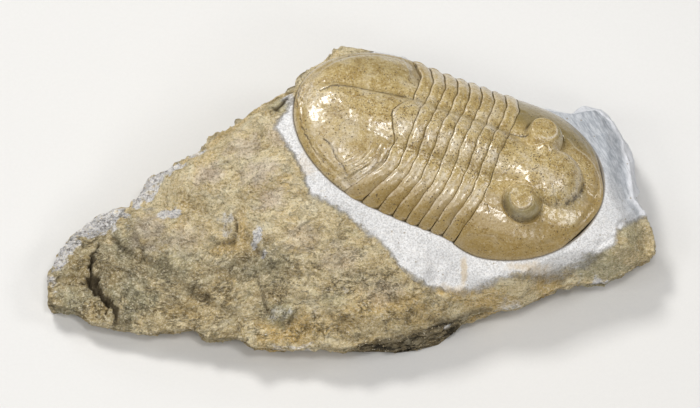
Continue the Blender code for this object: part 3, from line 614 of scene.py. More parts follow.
def make_rock():
    places, quads, foot_loop, known, rim_count = rock_points()
    face_count = len(known["away"])
    faces = quads.tolist() + [foot_loop[::-1].tolist()]
    mesh = make_mesh("limestone", places, faces)
    normal = np.empty(len(places) * 3)
    mesh.vertices.foreach_get("normal", normal)
    normal = normal.reshape(-1, 3)
    away = np.full(len(places), 40.0)
    away[:face_count] = known["away"]
    groove = np.zeros(len(places))
    groove[:face_count] = known["groove"]
    x, y, z = places.T
    cleaned = inside_distance(CLEANED, x, y)
    front_wall = np.zeros(len(places), dtype=bool)
    front_wall[face_count:] = (y[face_count:] < -5.0) | (x[face_count:] < 0.0)
    cleaned = np.where(front_wall, np.minimum(cleaned, -2.0), cleaned)
    wall = places[face_count:]
    cleaned[face_count:] += CLEANED_FRAY * speckle(wall, (16.0, 16.0, 9.0), 4)
    cleaned[face_count:] -= 0.35 * np.maximum(10.0 - wall[:, 2], 0.0)
    ragged = 0.9 * speckle(places, (3.0, 3.0, 3.0), 3)
    natural = 1.0 - smooth_step(-0.7, 0.7, cleaned + ragged)
    broken = smooth_step(-8.0, -20.0, y) * smooth_step(30.0, 10.0, x)
    broken = np.maximum(broken, smooth_step(-50.0, -60.0, x))
    broken[face_count:] = 1.0
    bent = places + np.stack((speckle(places, (7.0,) * 3, 2), speckle(places[:, ::-1], (7.0,) * 3, 2),
                              speckle(places[:, [1, 2, 0]], (7.0,) * 3, 2)), axis=1) * 1.2
    beds = speckle(bent, (9.0, 5.0, 1.0), 4)
    creases = np.exp(-((beds / 0.035) ** 2)) * (0.15 + 0.75 * broken)
    fold = path_distance(STEPS[1][0], x, y)
    fold_lines = (1.0 - np.abs(np.sin(pi * (fold + 1.3 * beds) / 1.7))) ** 6
    creases = creases + 0.8 * fold_lines * smooth_step(9.0, 2.0, np.abs(fold)) * (x < 0.0)
    coarse = chips(bent, (4.2, 3.4, 2.6))
    fine = chips(bent, (1.7, 1.3, 1.1))
    lumps = speckle(places, (2.4, 2.4, 2.4), 4, 0.6)
    relief = (0.32 * coarse + 0.20 * fine) * (0.50 + 0.60 * broken) + 0.17 * lumps
    relief = relief + (0.06 + 0.36 * broken) * (beds - 0.35 * np.abs(beds)) - 0.26 * creases
    powdered = 0.05 * lumps + 0.03 * fine
    relief = relief * natural + powdered * (1.0 - natural)
    relief = relief * smooth_step(0.2, 1.6, away)
    at_foot = smooth_step(0.0, 1.2, z)
    at_foot[-rim_count:] = 0.0
    places = places + normal * (relief * at_foot)[:, None]
    drop = smooth_step(-0.20, -0.75, away)
    axes = np.array(fossil_axes())
    floor = axes[2, 3] + (places[:, 0] - axes[0, 3]) * axes[2, 0] / axes[0, 0]
    own = np.linalg.inv(axes)[:3, :3] @ (places - axes[:3, 3]).T
    own[2] = own[2] + (BED - 0.3 - own[2]) * drop
    sunk = (axes[:3, :3] @ own).T + axes[:3, 3]
    places = np.where(drop[:, None] > 0.0, sunk, places)
    places[:, 2] = np.maximum(places[:, 2], 0.0)
    places[-rim_count:, 2] = 0.0
    world_places = places * MM + np.array(SPECIMEN)
    mesh = make_mesh("limestone", world_places, faces)
    mesh.shade_smooth()
    give(mesh, "cleaned", cleaned)
    give(mesh, "away", away)
    give(mesh, "groove", groove + 0.30 * creases * natural)
    swing = radians(-42.0) * np.exp(-(np.hypot(x - FOLD_CENTRE[0], y - FOLD_CENTRE[1]) / 17.0) ** 2)
    out_x, out_y = x - FOLD_CENTRE[0], y - FOLD_CENTRE[1]
    flow = np.stack((0.55 * (out_x * np.cos(swing) + out_y * np.sin(swing)),
                     out_y * np.cos(swing) - out_x * np.sin(swing), 1.2 * z), axis=1)
    layer = mesh.attributes.new("flow", "FLOAT_VECTOR", "POINT")
    layer.data.foreach_set("vector", flow.astype(np.float32).ravel())
    rim_near = np.zeros(len(places))
    rim_near[:face_count] = known["edge"]
    give(mesh, "from_edge", rim_near)
    # Painted shade: how deep each hollow of the relief lies, which darkens it in the colour.
    give(mesh, "hollow", np.clip(-relief, 0.0, 1.0))
    give(mesh, "broken", broken)
    clear = smooth_step(2.0, 4.0, away) * smooth_step(0.3, 0.1, groove)
    give(mesh, "loose", natural * (0.35 + 0.65 * broken) * clear)
    # Painted shade: the front wall under the lip is marked here, so that its colour can be darkened.
    shaded = smooth_step(-1.0, 3.0, x) * smooth_step(31.0, 25.0, x) * (y < -20.0)
    shaded[:face_count] *= smooth_step(0.008, 0.0, known["edge"])
    give(mesh, "shaded", shaded)
    for stain, blots in STAINS.items():
        spread = np.zeros(len(places))
        for middle_x, middle_y, reach_x, reach_y, strength in blots:
            far = np.hypot((x - middle_x) / reach_x, (y - middle_y) / reach_y)
            spread = np.maximum(spread, strength * smooth_step(1.5, 0.4, far + 0.7 * lumps))
        give(mesh, stain, spread)
    return mesh


def limestone_finish():
    material, web = surface("weathered_limestone")
    where = web.in_millimetres()
    flow = web.attribute("flow", "Vector")
    broad = web.grain(where, 10.0, 5.0, 0.6)
    patch = web.grain(flow, 3.4, 5.0, 0.68, 0.4)
    scaly = web.grain(flow, 1.25, 5.0, 0.70, 0.6)
    sand = web.grain(where, 0.44, 3.0, 0.70)
    grit = web.grain(web.in_millimetres((1.0, 1.3, 1.3)), 0.80, 4.0, 0.78)
    lines = (1.0 - abs(web.grain(flow, 1.9, 6.0, 0.68, 0.5) * 2.0 - 1.0) * 15.0).clip()
    lines = lines * web.grain(where, 4.0, 2.0).step(0.42, 0.60)
    crazed = web.bent(flow, 1.6, 2.2)
    flake = web.node("ShaderNodeSeparateXYZ", {}, (web.cells(crazed, 1.9, "Color"),), "X")
    plated = web.bent(flow, 3.2, 4.4)
    plate = web.node("ShaderNodeSeparateXYZ", {}, (web.cells(plated, 4.0, "Color"),), "X")
    flake_edge = web.cells(crazed, 1.9, "Distance", "DISTANCE_TO_EDGE").step(0.055, 0.0)
    flake_edge = flake_edge * web.grain(where, 2.6, 2.0).step(0.46, 0.58)
    tan = web.node("ShaderNodeValToRGB", {"stops": (
        (0.30, (0.42, 0.31, 0.140)), (0.43, (0.62, 0.485, 0.255)),
        (0.55, (0.78, 0.65, 0.39)), (0.68, (0.87, 0.78, 0.55)))},
        (patch * 0.46 + flake * 0.16 + plate * 0.12 + broad * 0.26,))
    ochre_stain = web.attribute("ochre")
    ochre = (ochre_stain * 1.2 + (patch - 0.5) * 1.2).clip().most(broad.step(0.52, 0.66) * 0.5)
    weathered = web.blend(ochre * 0.85, tan, (0.66, 0.44, 0.14, 1.0))
    olive = (web.attribute("olive") * 1.2 + (patch - 0.5)).clip()
    olive = olive.most(web.grain(where, 6.0, 4.0, 0.6).step(0.58, 0.70) * 0.45)
    weathered = web.blend(olive * 0.70, weathered, (0.50, 0.50, 0.33, 1.0))
    # Painted shade: the broken left end, a band below a ridge and the low front are darkened.
    dull = (web.attribute("dull") * 1.1 + (patch - 0.5)).clip()
    weathered = web.blend(dull * 0.68, weathered, (0.20, 0.174, 0.098, 1.0))
    lilac = (web.attribute("lilac") + (grit - 0.5) * 1.2).clip()
    weathered = web.blend(lilac * 0.62, weathered, (0.72, 0.61, 0.57, 1.0))
    # Painted highlight together with chalk: frosted white blots along the left crest and the lowest edges
    # stand in for the light these catch.
    chalk_and_highlight = web.attribute("chalky") + (grit - 0.5) * 0.5 + (patch - 0.5) * 1.1
    chalk_and_highlight = chalk_and_highlight.step(0.28, 0.70)
    frosty = web.blend(grit.step(0.36, 0.62), (0.60, 0.59, 0.61, 1.0), (0.92, 0.91, 0.92, 1.0))
    weathered = web.blend(chalk_and_highlight * 0.92, weathered, frosty)
    weathered = web.blend(scaly.step(0.45, 0.30) * 0.30, weathered, (0.20, 0.14, 0.065, 1.0))
    weathered = web.blend(scaly.step(0.54, 0.70) * 0.40, weathered, (0.90, 0.80, 0.56, 1.0))
    weathered = web.blend(grit.step(0.52, 0.66) * 0.58, weathered, (0.92, 0.83, 0.62, 1.0))
    weathered = web.blend(grit.step(0.47, 0.33) * 0.66, weathered, (0.15, 0.11, 0.055, 1.0))
    weathered = web.blend(sand.step(0.53, 0.68) * 0.52, weathered, (0.95, 0.88, 0.70, 1.0))
    weathered = web.blend(sand.step(0.46, 0.30) * 0.56, weathered, (0.11, 0.08, 0.04, 1.0))
    rough_ground = web.attribute("broken")
    thin = (lines * (0.26 + 0.30 * rough_ground) + flake_edge * 0.26).clip()
    weathered = web.blend(thin, weathered, (0.085, 0.06, 0.026, 1.0))
    hollow = web.attribute("hollow")
    groove = web.attribute("groove")
    # Painted shade: hollows of the relief are darkened by their depth, and cracks by how deep they are cut.
    dark = ((hollow * 1.4).clip() * 0.26 + (groove * 1.3).clip() * 0.85).clip()
    weathered = web.blend(dark, weathered, (0.06, 0.042, 0.02, 1.0))
    # Painted shadow: the wall under the front lip is darkened to near black brown.
    shade = web.attribute("shaded") * (0.55 + 0.45 * patch.step(0.60, 0.40))
    undercut_shadow = web.blend(patch.step(0.46, 0.74), (0.010, 0.007, 0.004, 1.0), (0.17, 0.120, 0.060, 1.0))
    weathered = web.blend(shade * 0.95, weathered, undercut_shadow)
    cleaned = web.attribute("cleaned")
    edge = cleaned + (web.grain(where, 2.6, 5.0, 0.7) - 0.5) * 3.2
    blasted = edge.step(-0.80, 0.70)
    stipple = sand.step(0.30, 0.66)
    powder = web.blend(stipple, (0.50, 0.495, 0.49, 1.0), (0.83, 0.825, 0.82, 1.0))
    powder = web.blend(patch.step(0.62, 0.78) * 0.30, powder, (0.64, 0.57, 0.44, 1.0))
    stained = (ochre_stain * 1.3 + (grit - 0.5) * 1.5).clip()
    powder = web.blend(stained * 0.62, powder, (0.60, 0.47, 0.29, 1.0))
    place = web.node("ShaderNodeSeparateXYZ", {}, (where,), "X")
    depth = web.node("ShaderNodeSeparateXYZ", {}, (where,), "Y")
    slope = (place * 0.8 + depth * 0.6 + (broad - 0.5) * 9.0).step(43.0, 58.0)
    raked = web.node("ShaderNodeVectorRotate", {"rotation_type": "Z_AXIS"},
                     {"Vector": web.in_millimetres(), "Angle": radians(62.0)}, "Vector")
    raked = web.node("ShaderNodeVectorMath", {"operation": "MULTIPLY"}, (raked, (0.20, 1.0, 0.6)))
    strokes = web.grain(raked, 0.62, 4.0, 0.68, 0.2)
    steel = web.blend(strokes.step(0.34, 0.66), (0.30, 0.325, 0.36, 1.0), (0.56, 0.58, 0.61, 1.0))
    steel = web.blend(patch.step(0.55, 0.75) * 0.4, steel, (0.60, 0.59, 0.62, 1.0))
    powder = web.blend(slope * 0.92, powder, steel)
    # Painted highlight: a pale line along the top edge of the steel-dressed slope.
    rim = web.attribute("from_edge").step(0.016, 0.004) * slope
    powder = web.blend(rim * 0.55, powder, (0.88, 0.88, 0.90, 1.0))
    speck = web.cells(where, 2.6).step(0.11, 0.07)
    powder = web.blend(speck * 0.6, powder, (0.25, 0.19, 0.10, 1.0))
    # Painted shade: cracks in the blasted ground are darkened by how deep they are cut.
    powder = web.blend((groove * 0.8).clip() * 0.8, powder, (0.13, 0.10, 0.055, 1.0))
    colour = web.blend(blasted, weathered, powder)
    # Painted shade: the rock is darkened where it meets the shell's edge.
    shade_at_shell = web.attribute("away").step(0.42, 0.05)
    colour = web.blend(shade_at_shell * 0.75, colour, (0.16, 0.12, 0.06, 1.0))
    roughness = 0.92 - blasted * 0.04
    wild = scaly * 0.90 + patch * 0.60 + grit * 0.42 + sand * 0.16 + flake * 0.50
    wild = wild + plate * 0.50 - thin * 0.45
    worked = sand * 0.18 + strokes * slope * 0.22
    height = wild * (1.0 - blasted) + worked * blasted
    finish_surface(web, {"Base Color": colour, "Roughness": roughness,
                         "Specular IOR Level": 0.25}, [(height, 1.0)])
    return material


rock_mesh = make_rock()
rock_mesh.materials.append(limestone_finish())
rock = bpy.data.objects.new("limestone_rock", rock_mesh)
bpy.context.scene.collection.objects.link(rock)
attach(rock, "root")
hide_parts("matrix")

# ---------------------------------------------------------------------------------------------
# The grains. Sand and crumbs of lime that weathering freed still cling to the rough faces of
# the rock, held by clay. The blasted ground has none.
# ---------------------------------------------------------------------------------------------
GRAINS_PER_SQUARE_METRE = 6.0e5
GRAIN_SIZE = (0.00010, 0.00030)


def grain_tree():
    tree = bpy.data.node_groups.new("clinging_grains", "GeometryNodeTree")
    for name, kind in (("Rock", "Geometry"), ("Density", "Float"), ("Smallest", "Float"),
                       ("Largest", "Float"), ("Seed", "Int"), ("Finish", "Material")):
        tree.interface.new_socket(name=name, in_out="INPUT", socket_type=f"NodeSocket{kind}")
    tree.interface.new_socket(name="Grains", in_out="OUTPUT", socket_type="NodeSocketGeometry")
    web = Web(tree)
    given = tree.nodes.new("NodeGroupInput").outputs
    size = {socket.name: Signal(web, socket) for socket in given if socket.name}
    weathered = web.node("GeometryNodeInputNamedAttribute", {"data_type": "FLOAT"},
                         {"Name": "loose"}, "Attribute")
    spots = {"Mesh": size["Rock"], "Density": size["Density"] * weathered, "Seed": size["Seed"]}
    points = web.node("GeometryNodeDistributePointsOnFaces", {}, spots, "Points")
    crumb = web.node("GeometryNodeMeshIcoSphere", {}, {"Radius": 1.0, "Subdivisions": 1}, "Mesh")
    any_way = web.node("FunctionNodeRandomValue", {"data_type": "FLOAT_VECTOR"},
                       {0: (0.0, 0.0, 0.0), 1: (6.28, 6.28, 6.28), 8: size["Seed"]}, 0)
    chance = web.node("FunctionNodeRandomValue", {"data_type": "FLOAT"},
                      {2: 0.0, 3: 1.0, 8: size["Seed"] + 1.0}, 1)
    across = size["Smallest"] + (size["Largest"] - size["Smallest"]) * chance * chance * chance
    flatness = web.node("ShaderNodeCombineXYZ", {}, (across, across * 0.8, across * 0.6))
    placed = {"Points": points, "Instance": crumb, "Rotation": any_way, "Scale": flatness}
    crumbs = web.node("GeometryNodeInstanceOnPoints", {}, placed, "Instances")
    real = web.node("GeometryNodeRealizeInstances", {}, {"Geometry": crumbs}, "Geometry")
    done = web.node("GeometryNodeSetMaterial", {}, {"Geometry": real, "Material": size["Finish"]},
                    "Geometry")
    web.node("NodeGroupOutput", {}, (done,))
    return tree


def grown(name, base, tree, inputs):
    """The plain mesh that a tree makes from a base mesh with its inputs."""
    carrier = bpy.data.objects.new(name, base)
    bpy.context.scene.collection.objects.link(carrier)
    maker = carrier.modifiers.new(tree.name, "NODES")
    maker.node_group = tree
    for socket in tree.interface.items_tree:
        if socket.name in inputs:
            maker[socket.identifier] = inputs[socket.name]
    ready = carrier.evaluated_get(bpy.context.evaluated_depsgraph_get())
    mesh = bpy.data.meshes.new_from_object(ready)
    bpy.data.objects.remove(carrier, do_unlink=True)
    return mesh


def grain_finish():
    material, web = surface("lime_grains")
    where = web.in_millimetres()
    shade = web.node("ShaderNodeValToRGB", {"stops": (
        (0.30, (0.33, 0.25, 0.13)), (0.5, (0.55, 0.45, 0.28)), (0.75, (0.80, 0.76, 0.66)))},
        (web.grain(where, 1.2),))
    finish_surface(web, {"Base Color": shade, "Roughness": 0.9}, [(web.grain(where, 0.1), 0.3)])
    return material


ground = rock_mesh.copy()
grain_mesh = grown("grain_bed", ground, grain_tree(), {
    "Density": GRAINS_PER_SQUARE_METRE, "Smallest": GRAIN_SIZE[0], "Largest": GRAIN_SIZE[1],
    "Seed": 7, "Finish": grain_finish()})
grains = bpy.data.objects.new("clinging_grains", grain_mesh)
bpy.context.scene.collection.objects.link(grains)
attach(grains, "root")

# ---------------------------------------------------------------------------------------------
# The tail shield. One smooth plate of calcite shell, half an ellipse, with a low axis that
# tapers back, a bevelled facet at each front corner, a narrow border and fine cracks.
# ---------------------------------------------------------------------------------------------
SEGMENTS = 8
SEGMENT_PITCH = 3.16
FURROW_AT = 0.31
FULCRUM_AT = 0.64
FULCRUM_LEAN = 0.04          # the left one lies further out, because the body is a little askew
FULCRUM_ROUND = 0.02
BOW = (0.3, 2.8)
SWEEP = (2.5, 4.0)
SKEW = 1.3                   # how far the right tips lag behind the left ones
FAR_EASE = 2.4               # how much less the hindmost joints lag at their left tips
WANDER = (0.13, 0.08)        # of a joint about its smooth line
JOINT_GAP = 0.024            # left open between plates that lie against each other
FURROW_AT_LOBE = (1.05, 0.20)
FURROW_DEPTH = 0.30
LOBE_FLATNESS = 2.5
RIGHT_SAG = 0.32             # the right side of the axis is pressed down by this share
LOBE_FOOT = 0.05             # rounds the foot of the axis
FACET_WIDTH = 5.0
FACET_DEPTH = 1.1
BORDER_AT = 0.93
BORDER_SPREAD = 0.02
BORDER_DEPTH = 0.22
FLANK_SHARE = 0.30
CREST = ((0, 6.0), (2, 7.6), (5, 9.2), (10, 10.4), (18, 10.6), (27, 10.3), (40, 10.2),
         (53, 10.0), (60, 9.8), (66, 8.8), (70, 7.8), (74, 6.6), (77, 5.6), (80, 4.2))
LOBE_HALF_WIDTH = ((0, 1.5), (8, 3.8), (16, 5.0), (27, 6.6), (40, 6.9), (53, 6.6), (60, 5.2))
LOBE_RISE = ((0, 0.0), (3, 0.0), (8, 0.9), (16, 1.8), (27, 2.8), (40, 3.1), (53, 2.7),
             (58, 1.0), (62, 0.0), (80, 0.0))
GLABELLA_HALF_WIDTH = ((50, 6.4), (57, 5.2), (60, 5.4), (64, 7.2), (67, 7.8), (70, 7.2),
                       (72.5, 5.6), (75, 2.5), (80, 2.0))
GLABELLA_RISE = ((50, 0.0), (53, 0.0), (57, 1.2), (60, 2.2), (63, 3.4), (66, 4.1), (69, 4.2),
                 (71, 3.7), (72.8, 2.4), (74.2, 0.6), (75.0, 0.0), (80, 0.0))
TAIL_FACETS = (220, 150)
UNEVEN = 0.10                # height of the shallow dents of weathering
# Hairline cracks of the tail in its own plan: path, depth, width and darkness
TAIL_CRACKS = (
    (((10.5, -11.6), (12.6, -12.4), (14.4, -14.3), (16.4, -15.6), (18.9, -17.4)), 0.20, 0.20, 1.0),
    (((14.2, -12.6), (15.2, -14.4), (16.6, -16.6)), 0.05, 0.12, 0.6),
    (((12.4, -11.2), (13.6, -9.0), (13.2, -6.8), (15.0, -4.4)), 0.05, 0.10, 0.5),
    (((6.0, 1.0), (8.4, 2.8), (12.0, 4.0), (17.0, 4.9), (22.0, 5.9), (26.0, 6.7)), 0.14, 0.30, 0.85),
    (((3.0, -6.4), (4.6, -9.3), (6.9, -12.0), (9.8, -14.7), (12.4, -16.2)), 0.07, 0.12, 0.9),
    (((1.3, 3.3), (1.0, 0.4), (1.2, -2.4), (2.0, -4.6)), 0.07, 0.12, 0.8),
    (((16.0, 9.5), (18.0, 12.6), (21.0, 13.8), (24.0, 12.4)), 0.04, 0.2, 0.25),
)


def joint_line(index, side):
    """Station of a joint at side, from -1 at the right margin to 1 at the left one."""
    share = index / SEGMENTS
    bow = BOW[0] + BOW[1] * share**18
    sweep = SWEEP[0] + SWEEP[1] * share**4 - FAR_EASE * share**2.2 * (side > 0.0)
    out = np.abs(side)
    arc = bow * np.clip(1.0 - (out / FURROW_AT) ** 2, 0.0, 1.0) ** 1.5
    fulcrum = FULCRUM_AT + FULCRUM_LEAN * np.sign(side)
    past = (out - fulcrum) / (1.0 - fulcrum)
    fall = sweep * (past + np.sqrt(past**2 + FULCRUM_ROUND)) / 2
    stray = WANDER[0] * np.sin(13.0 * side + 2.1 * index) * (1.0 - out)
    stray = stray + WANDER[1] * np.sin(31.0 * side + 5.3 * index)
    return NECK - SEGMENT_PITCH * index - arc - fall + SKEW * side + stray


def shell_height(x, y):
    """Height of the shell's smooth form above the bedding plane."""
    margin = through(MARGIN_RISE, x)
    side = np.clip(np.abs(y) / np.maximum(half_width(x), 0.05), 0.0, 1.0)
    height = margin + (through(CREST, x) - margin) * (1.0 - side**3.2) ** 0.8
    lobe = np.abs(y) / through(LOBE_HALF_WIDTH, x)
    over = 1.0 - lobe**LOBE_FLATNESS
    faded = smooth_step(0.0, -3.0, y) * smooth_step(30.0, 22.0, x)
    foot = LOBE_FOOT + 0.5 * faded
    rise = through(LOBE_RISE, x) * (1.0 - RIGHT_SAG * smooth_step(0.0, -6.5, y))
    height = height + rise * (0.5 * (over + np.sqrt(over**2 + foot))) ** 0.8
    furrow = FURROW_DEPTH * np.exp(-(((lobe - FURROW_AT_LOBE[0]) / FURROW_AT_LOBE[1]) ** 2))
    furrow = furrow * smooth_step(4.0, 12.0, x) * (1.0 - smooth_step(53.0, 58.0, x))
    height = height - furrow * (1.0 - 0.9 * faded)
    glabella = np.clip(1.0 - (y / through(GLABELLA_HALF_WIDTH, x)) ** 2, 0.0, 1.0)
    return height + through(GLABELLA_RISE, x) * glabella ** 0.6


def shield_place(joint, centre, reach):
    """Lays a grid over a shield, from its jointed side to its elliptic end."""
    forward = 1.0 if reach > 0 else -1.0
    tips = joint_line(joint, np.array((-1.0, 1.0))) + forward * JOINT_GAP / 2
    corners = np.arccos((tips - centre) / reach)

    def end(share):
        turn = share * corners.sum() - corners[0]
        x = centre + reach * np.cos(turn)
        return np.stack((x, np.sign(turn) * half_width(x)), axis=1)

    def jointed(share):
        side = 2.0 * share - 1.0
        x = joint_line(joint, side) + forward * JOINT_GAP / 2
        return np.stack((x, side * half_width(x)), axis=1)

    def place(u, v):
        return four_sided(lambda s: end(FLANK_SHARE * s), lambda s: end(1.0 - FLANK_SHARE * s),
                          jointed, lambda s: end(FLANK_SHARE + (1.0 - 2.0 * FLANK_SHARE) * s),
                          u, v).T

    return place


def cracked(cracks, x, y):
    """How deep and how dark the hairline cracks are at places in the animal's own plan."""
    depth = np.zeros(x.shape)
    dark = np.zeros(x.shape)
    ragged = 0.35 * speckle(np.stack((x, y, 0.0 * x), axis=1), (1.6, 1.6, 1.0), 3)
    for path, deep, width, shade in cracks:
        line = np.exp(-(((path_distance(path, x, y) + ragged) / width) ** 2))
        depth = depth + deep * line
        dark = np.maximum(dark, shade * line)
    return depth, dark


def into_the_bed(mesh):
    """From the animal's own axes in mm to its place in the rock."""
    lie = fossil_axes()
    mesh.transform(Matrix.Translation(SPECIMEN) @ Matrix.Scale(MM, 4) @ lie)
    if lie.determinant() < 0.0:
        mesh.flip_normals()


def shield(name, facets, place, relief):
    """A closed plate: its upper face, edges that roll under, and a flat bed."""
    columns, rows = facets
    u, v = np.meshgrid(np.linspace(0.0, 1.0, columns + 1), np.linspace(0.0, 1.0, rows + 1))
    u, v = u.ravel(), v.ravel()
    x, y = place(u, v)
    z, known = relief(x, y)
    flat = np.stack((x, y, 0.0 * x), axis=1)
    worn = speckle(flat, (3.6, 3.6, 1.0), 3, 0.9) + 0.5 * speckle(flat, (1.1, 1.1, 1.0), 2, 0.9)
    z = z + UNEVEN * worn * smooth_step(0.0, 1.0, known["rim"])
    index = np.arange((columns + 1) * (rows + 1)).reshape(rows + 1, columns + 1)
    quads = np.stack((index[:-1, :-1], index[:-1, 1:], index[1:, 1:], index[1:, :-1]), axis=-1)
    rim = np.concatenate((index[0, :-1], index[:-1, -1], index[-1, :0:-1], index[:0:-1, 0]))
    top = np.stack((x, y, z), axis=1)
    edge = top[rim]
    middle = np.array((edge[:, 0].mean(), 0.0, 0.0))
    inward = (middle - edge) * (1.0, 1.0, 0.0)
    inward /= np.linalg.norm(inward, axis=1)[:, None]
    places, faces = [top], [quads.reshape(-1, 4)]
    above, used = rim, len(top)
    for under, down in ((0.0, 0.12), (0.05, 0.35), (0.25, None)):
        ring = edge + inward * under
        ring[:, 2] = BED if down is None else ring[:, 2] - down
        below = used + np.arange(len(rim))
        used += len(rim)
        faces.append(np.stack((above, below, np.roll(below, -1), np.roll(above, -1)), axis=1))
        places.append(ring)
        above = below
    faces = np.concatenate(faces).tolist() + [above[::-1].tolist()]
    places = np.concatenate(places)
    mesh = make_mesh(name, places, faces)
    spin = (top[quads[0, 0]][1] - top[quads[0, 0]][0])[:2]
    rise = (top[quads[0, 0]][3] - top[quads[0, 0]][0])[:2]
    if spin[0] * rise[1] - spin[1] * rise[0] < 0.0:
        mesh.flip_normals()
    mesh.shade_smooth()
    layer = mesh.attributes.new("body", "FLOAT_VECTOR", "POINT")
    layer.data.foreach_set("vector", places.astype(np.float32).ravel())
    for label, values in known.items():
        padded = np.concatenate((values, np.tile(values[rim], 3)))
        give(mesh, label, padded)
    into_the_bed(mesh)
    return mesh


def shell_finish():
    """Caramel calcite: glossy, mottled, pricked with fine dark pits and lined at the rim."""
    material, web = surface("caramel_shell")
    body = web.attribute("body", "Vector")
    pitted = web.attribute("pits")
    dark = web.attribute("dark")
    olive = web.attribute("olive")
    pale = web.attribute("pale")
    rim = web.attribute("rim")
    lined = web.attribute("lined")
    furrow = web.attribute("furrow")
    broad = web.grain(body, 9.0, 4.0, 0.6)
    cloud = web.grain(body, 4.5, 5.0, 0.62, 0.8)
    mottle = web.grain(body, 1.8, 6.0, 0.72, 0.5)
    fine = web.grain(body, 0.62, 4.0, 0.72)
    amber = web.node("ShaderNodeValToRGB", {"stops": (
        (0.36, (0.24, 0.145, 0.033)), (0.45, (0.385, 0.268, 0.084)),
        (0.54, (0.510, 0.385, 0.160)), (0.67, (0.69, 0.58, 0.35)))},
        (mottle * 0.50 + cloud * 0.25 + broad * 0.25,))
    # Greyish patches placed at random, standing in partly for painted sheen.
    grey_sheen = web.blend(fine, (0.43, 0.36, 0.26, 1.0), (0.68, 0.62, 0.52, 1.0))
    shell = web.blend(cloud.step(0.48, 0.62) * broad.step(0.40, 0.60) * 0.45, amber, grey_sheen)
    shell = web.blend(fine.step(0.52, 0.66) * 0.50, shell, (0.78, 0.69, 0.50, 1.0))
    shell = web.blend(fine.step(0.47, 0.33) * 0.50, shell, (0.19, 0.118, 0.032, 1.0))
    dust = web.grain(body, 0.34, 3.0, 0.7)
    shell = web.blend(dust.step(0.54, 0.68) * 0.45, shell, (0.85, 0.77, 0.60, 1.0))
    shell = web.blend(dust.step(0.46, 0.32) * 0.55, shell, (0.15, 0.092, 0.028, 1.0))
    # Painted shade together with tan: the outer flanks (more on the near side), the tail's margin and the
    # cheeks are darkened.
    tanned = web.attribute("tanned")
    shell = web.blend(tanned * (0.35 + 0.75 * mottle) * 0.75, shell, (0.285, 0.183, 0.048, 1.0))
    # Painted shade: the furrows beside the axis and the head's border furrow are darkened.
    shell = web.blend((furrow * (0.4 + 0.9 * mottle)).clip() * 0.30, shell,
                      (0.19, 0.130, 0.036, 1.0))
    streaky = web.grain(body, 1.1, 4.0, 0.7).step(0.36, 0.60)
    # Painted highlight, with some wear: pale patches stand in for highlights on the rings, the glabella, the
    # eye lids and the tail; the suture ridge is paler with wear.
    shell = web.blend((pale * (0.25 + 0.95 * streaky)).clip() * 0.80, shell,
                      (0.76, 0.69, 0.58, 1.0))
    shell = web.blend(olive * (0.45 + 0.6 * mottle), shell, (0.165, 0.135, 0.045, 1.0))
    pricks = 0.0
    crowd = web.grain(body, 4.0, 2.0)
    for spacing, lowest, spread in ((0.42, 0.16, 0.34), (0.80, 0.10, 0.34)):
        chance = web.cells(body, spacing, "Color")
        chance = web.node("ShaderNodeSeparateXYZ", {}, (chance,), "X")
        size = lowest + spread * web.grain(body, 1.7, 2.0)
        dot = (size - web.cells(body, spacing)).step(0.0, 0.14)
        pricks = dot * (pitted * (crowd * 2.2 - 0.30) - chance).step(0.0, 0.10) + pricks
    pricks = pricks.clip()
    shell = web.blend(pricks * 0.85, shell, (0.070, 0.042, 0.014, 1.0))
    broken_up = web.grain(body, 2.4, 4.0, 0.7).step(0.36, 0.60)
    # Dark joint lines and cracks, together with painted shade in the eye grooves and the tail's wrinkle
    # troughs.
    seams_and_shade = (dark * (0.40 + 0.80 * broken_up)).clip()
    shell = web.blend(seams_and_shade * 0.85, shell, (0.040, 0.024, 0.008, 1.0))
    wander = web.grain(body, 5.0)
    lines = web.node("ShaderNodeMath", {"operation": "SINE"}, ((rim + wander * 2.2) * 9.0,))
    terrace = lines * rim.step(9.0, 4.0) * rim.step(0.3, 1.2) * lined * broken_up
    shell = web.blend(terrace.step(0.2, 1.0) * 0.22, shell, (0.17, 0.11, 0.03, 1.0))
    ripple = web.grain(body, 1.5, 5.0, 0.62)
    pocked = web.grain(body, 0.42, 3.0, 0.6)
    height = fine * 0.03 + ripple * 0.13 + pocked * 0.02 - pricks * 0.10 - seams_and_shade * 0.14
    height = height + terrace * 0.010
    roughness = 0.24 + 0.20 * mottle + 0.35 * seams_and_shade + 0.25 * pricks
    finish_surface(web, {"Base Color": shell, "Roughness": roughness, "Specular IOR Level": 0.5,
                         "Coat Weight": 0.78, "Coat Roughness": 0.185}, [(height, 0.75)])
    return material


def from_margin(x, y):
    """Distance in from the shell's outline."""
    return np.maximum(-outside_shell(x, y), 0.0)


def over_lobe(x, y):
    """1 on the raised axis and falling to 0 beside it."""
    lobe = np.abs(y) / through(LOBE_HALF_WIDTH, x)
    return 1.0 - smooth_step(0.9, 1.35, lobe)


def beside_lobe(x, y):
    """1 in the furrow along either side of the axis."""
    lobe = np.abs(y) / through(LOBE_HALF_WIDTH, x)
    spread = np.exp(-(((lobe - FURROW_AT_LOBE[0]) / 0.17) ** 2))
    return spread * smooth_step(4.0, 14.0, x) * smooth_step(59.0, 55.0, x)


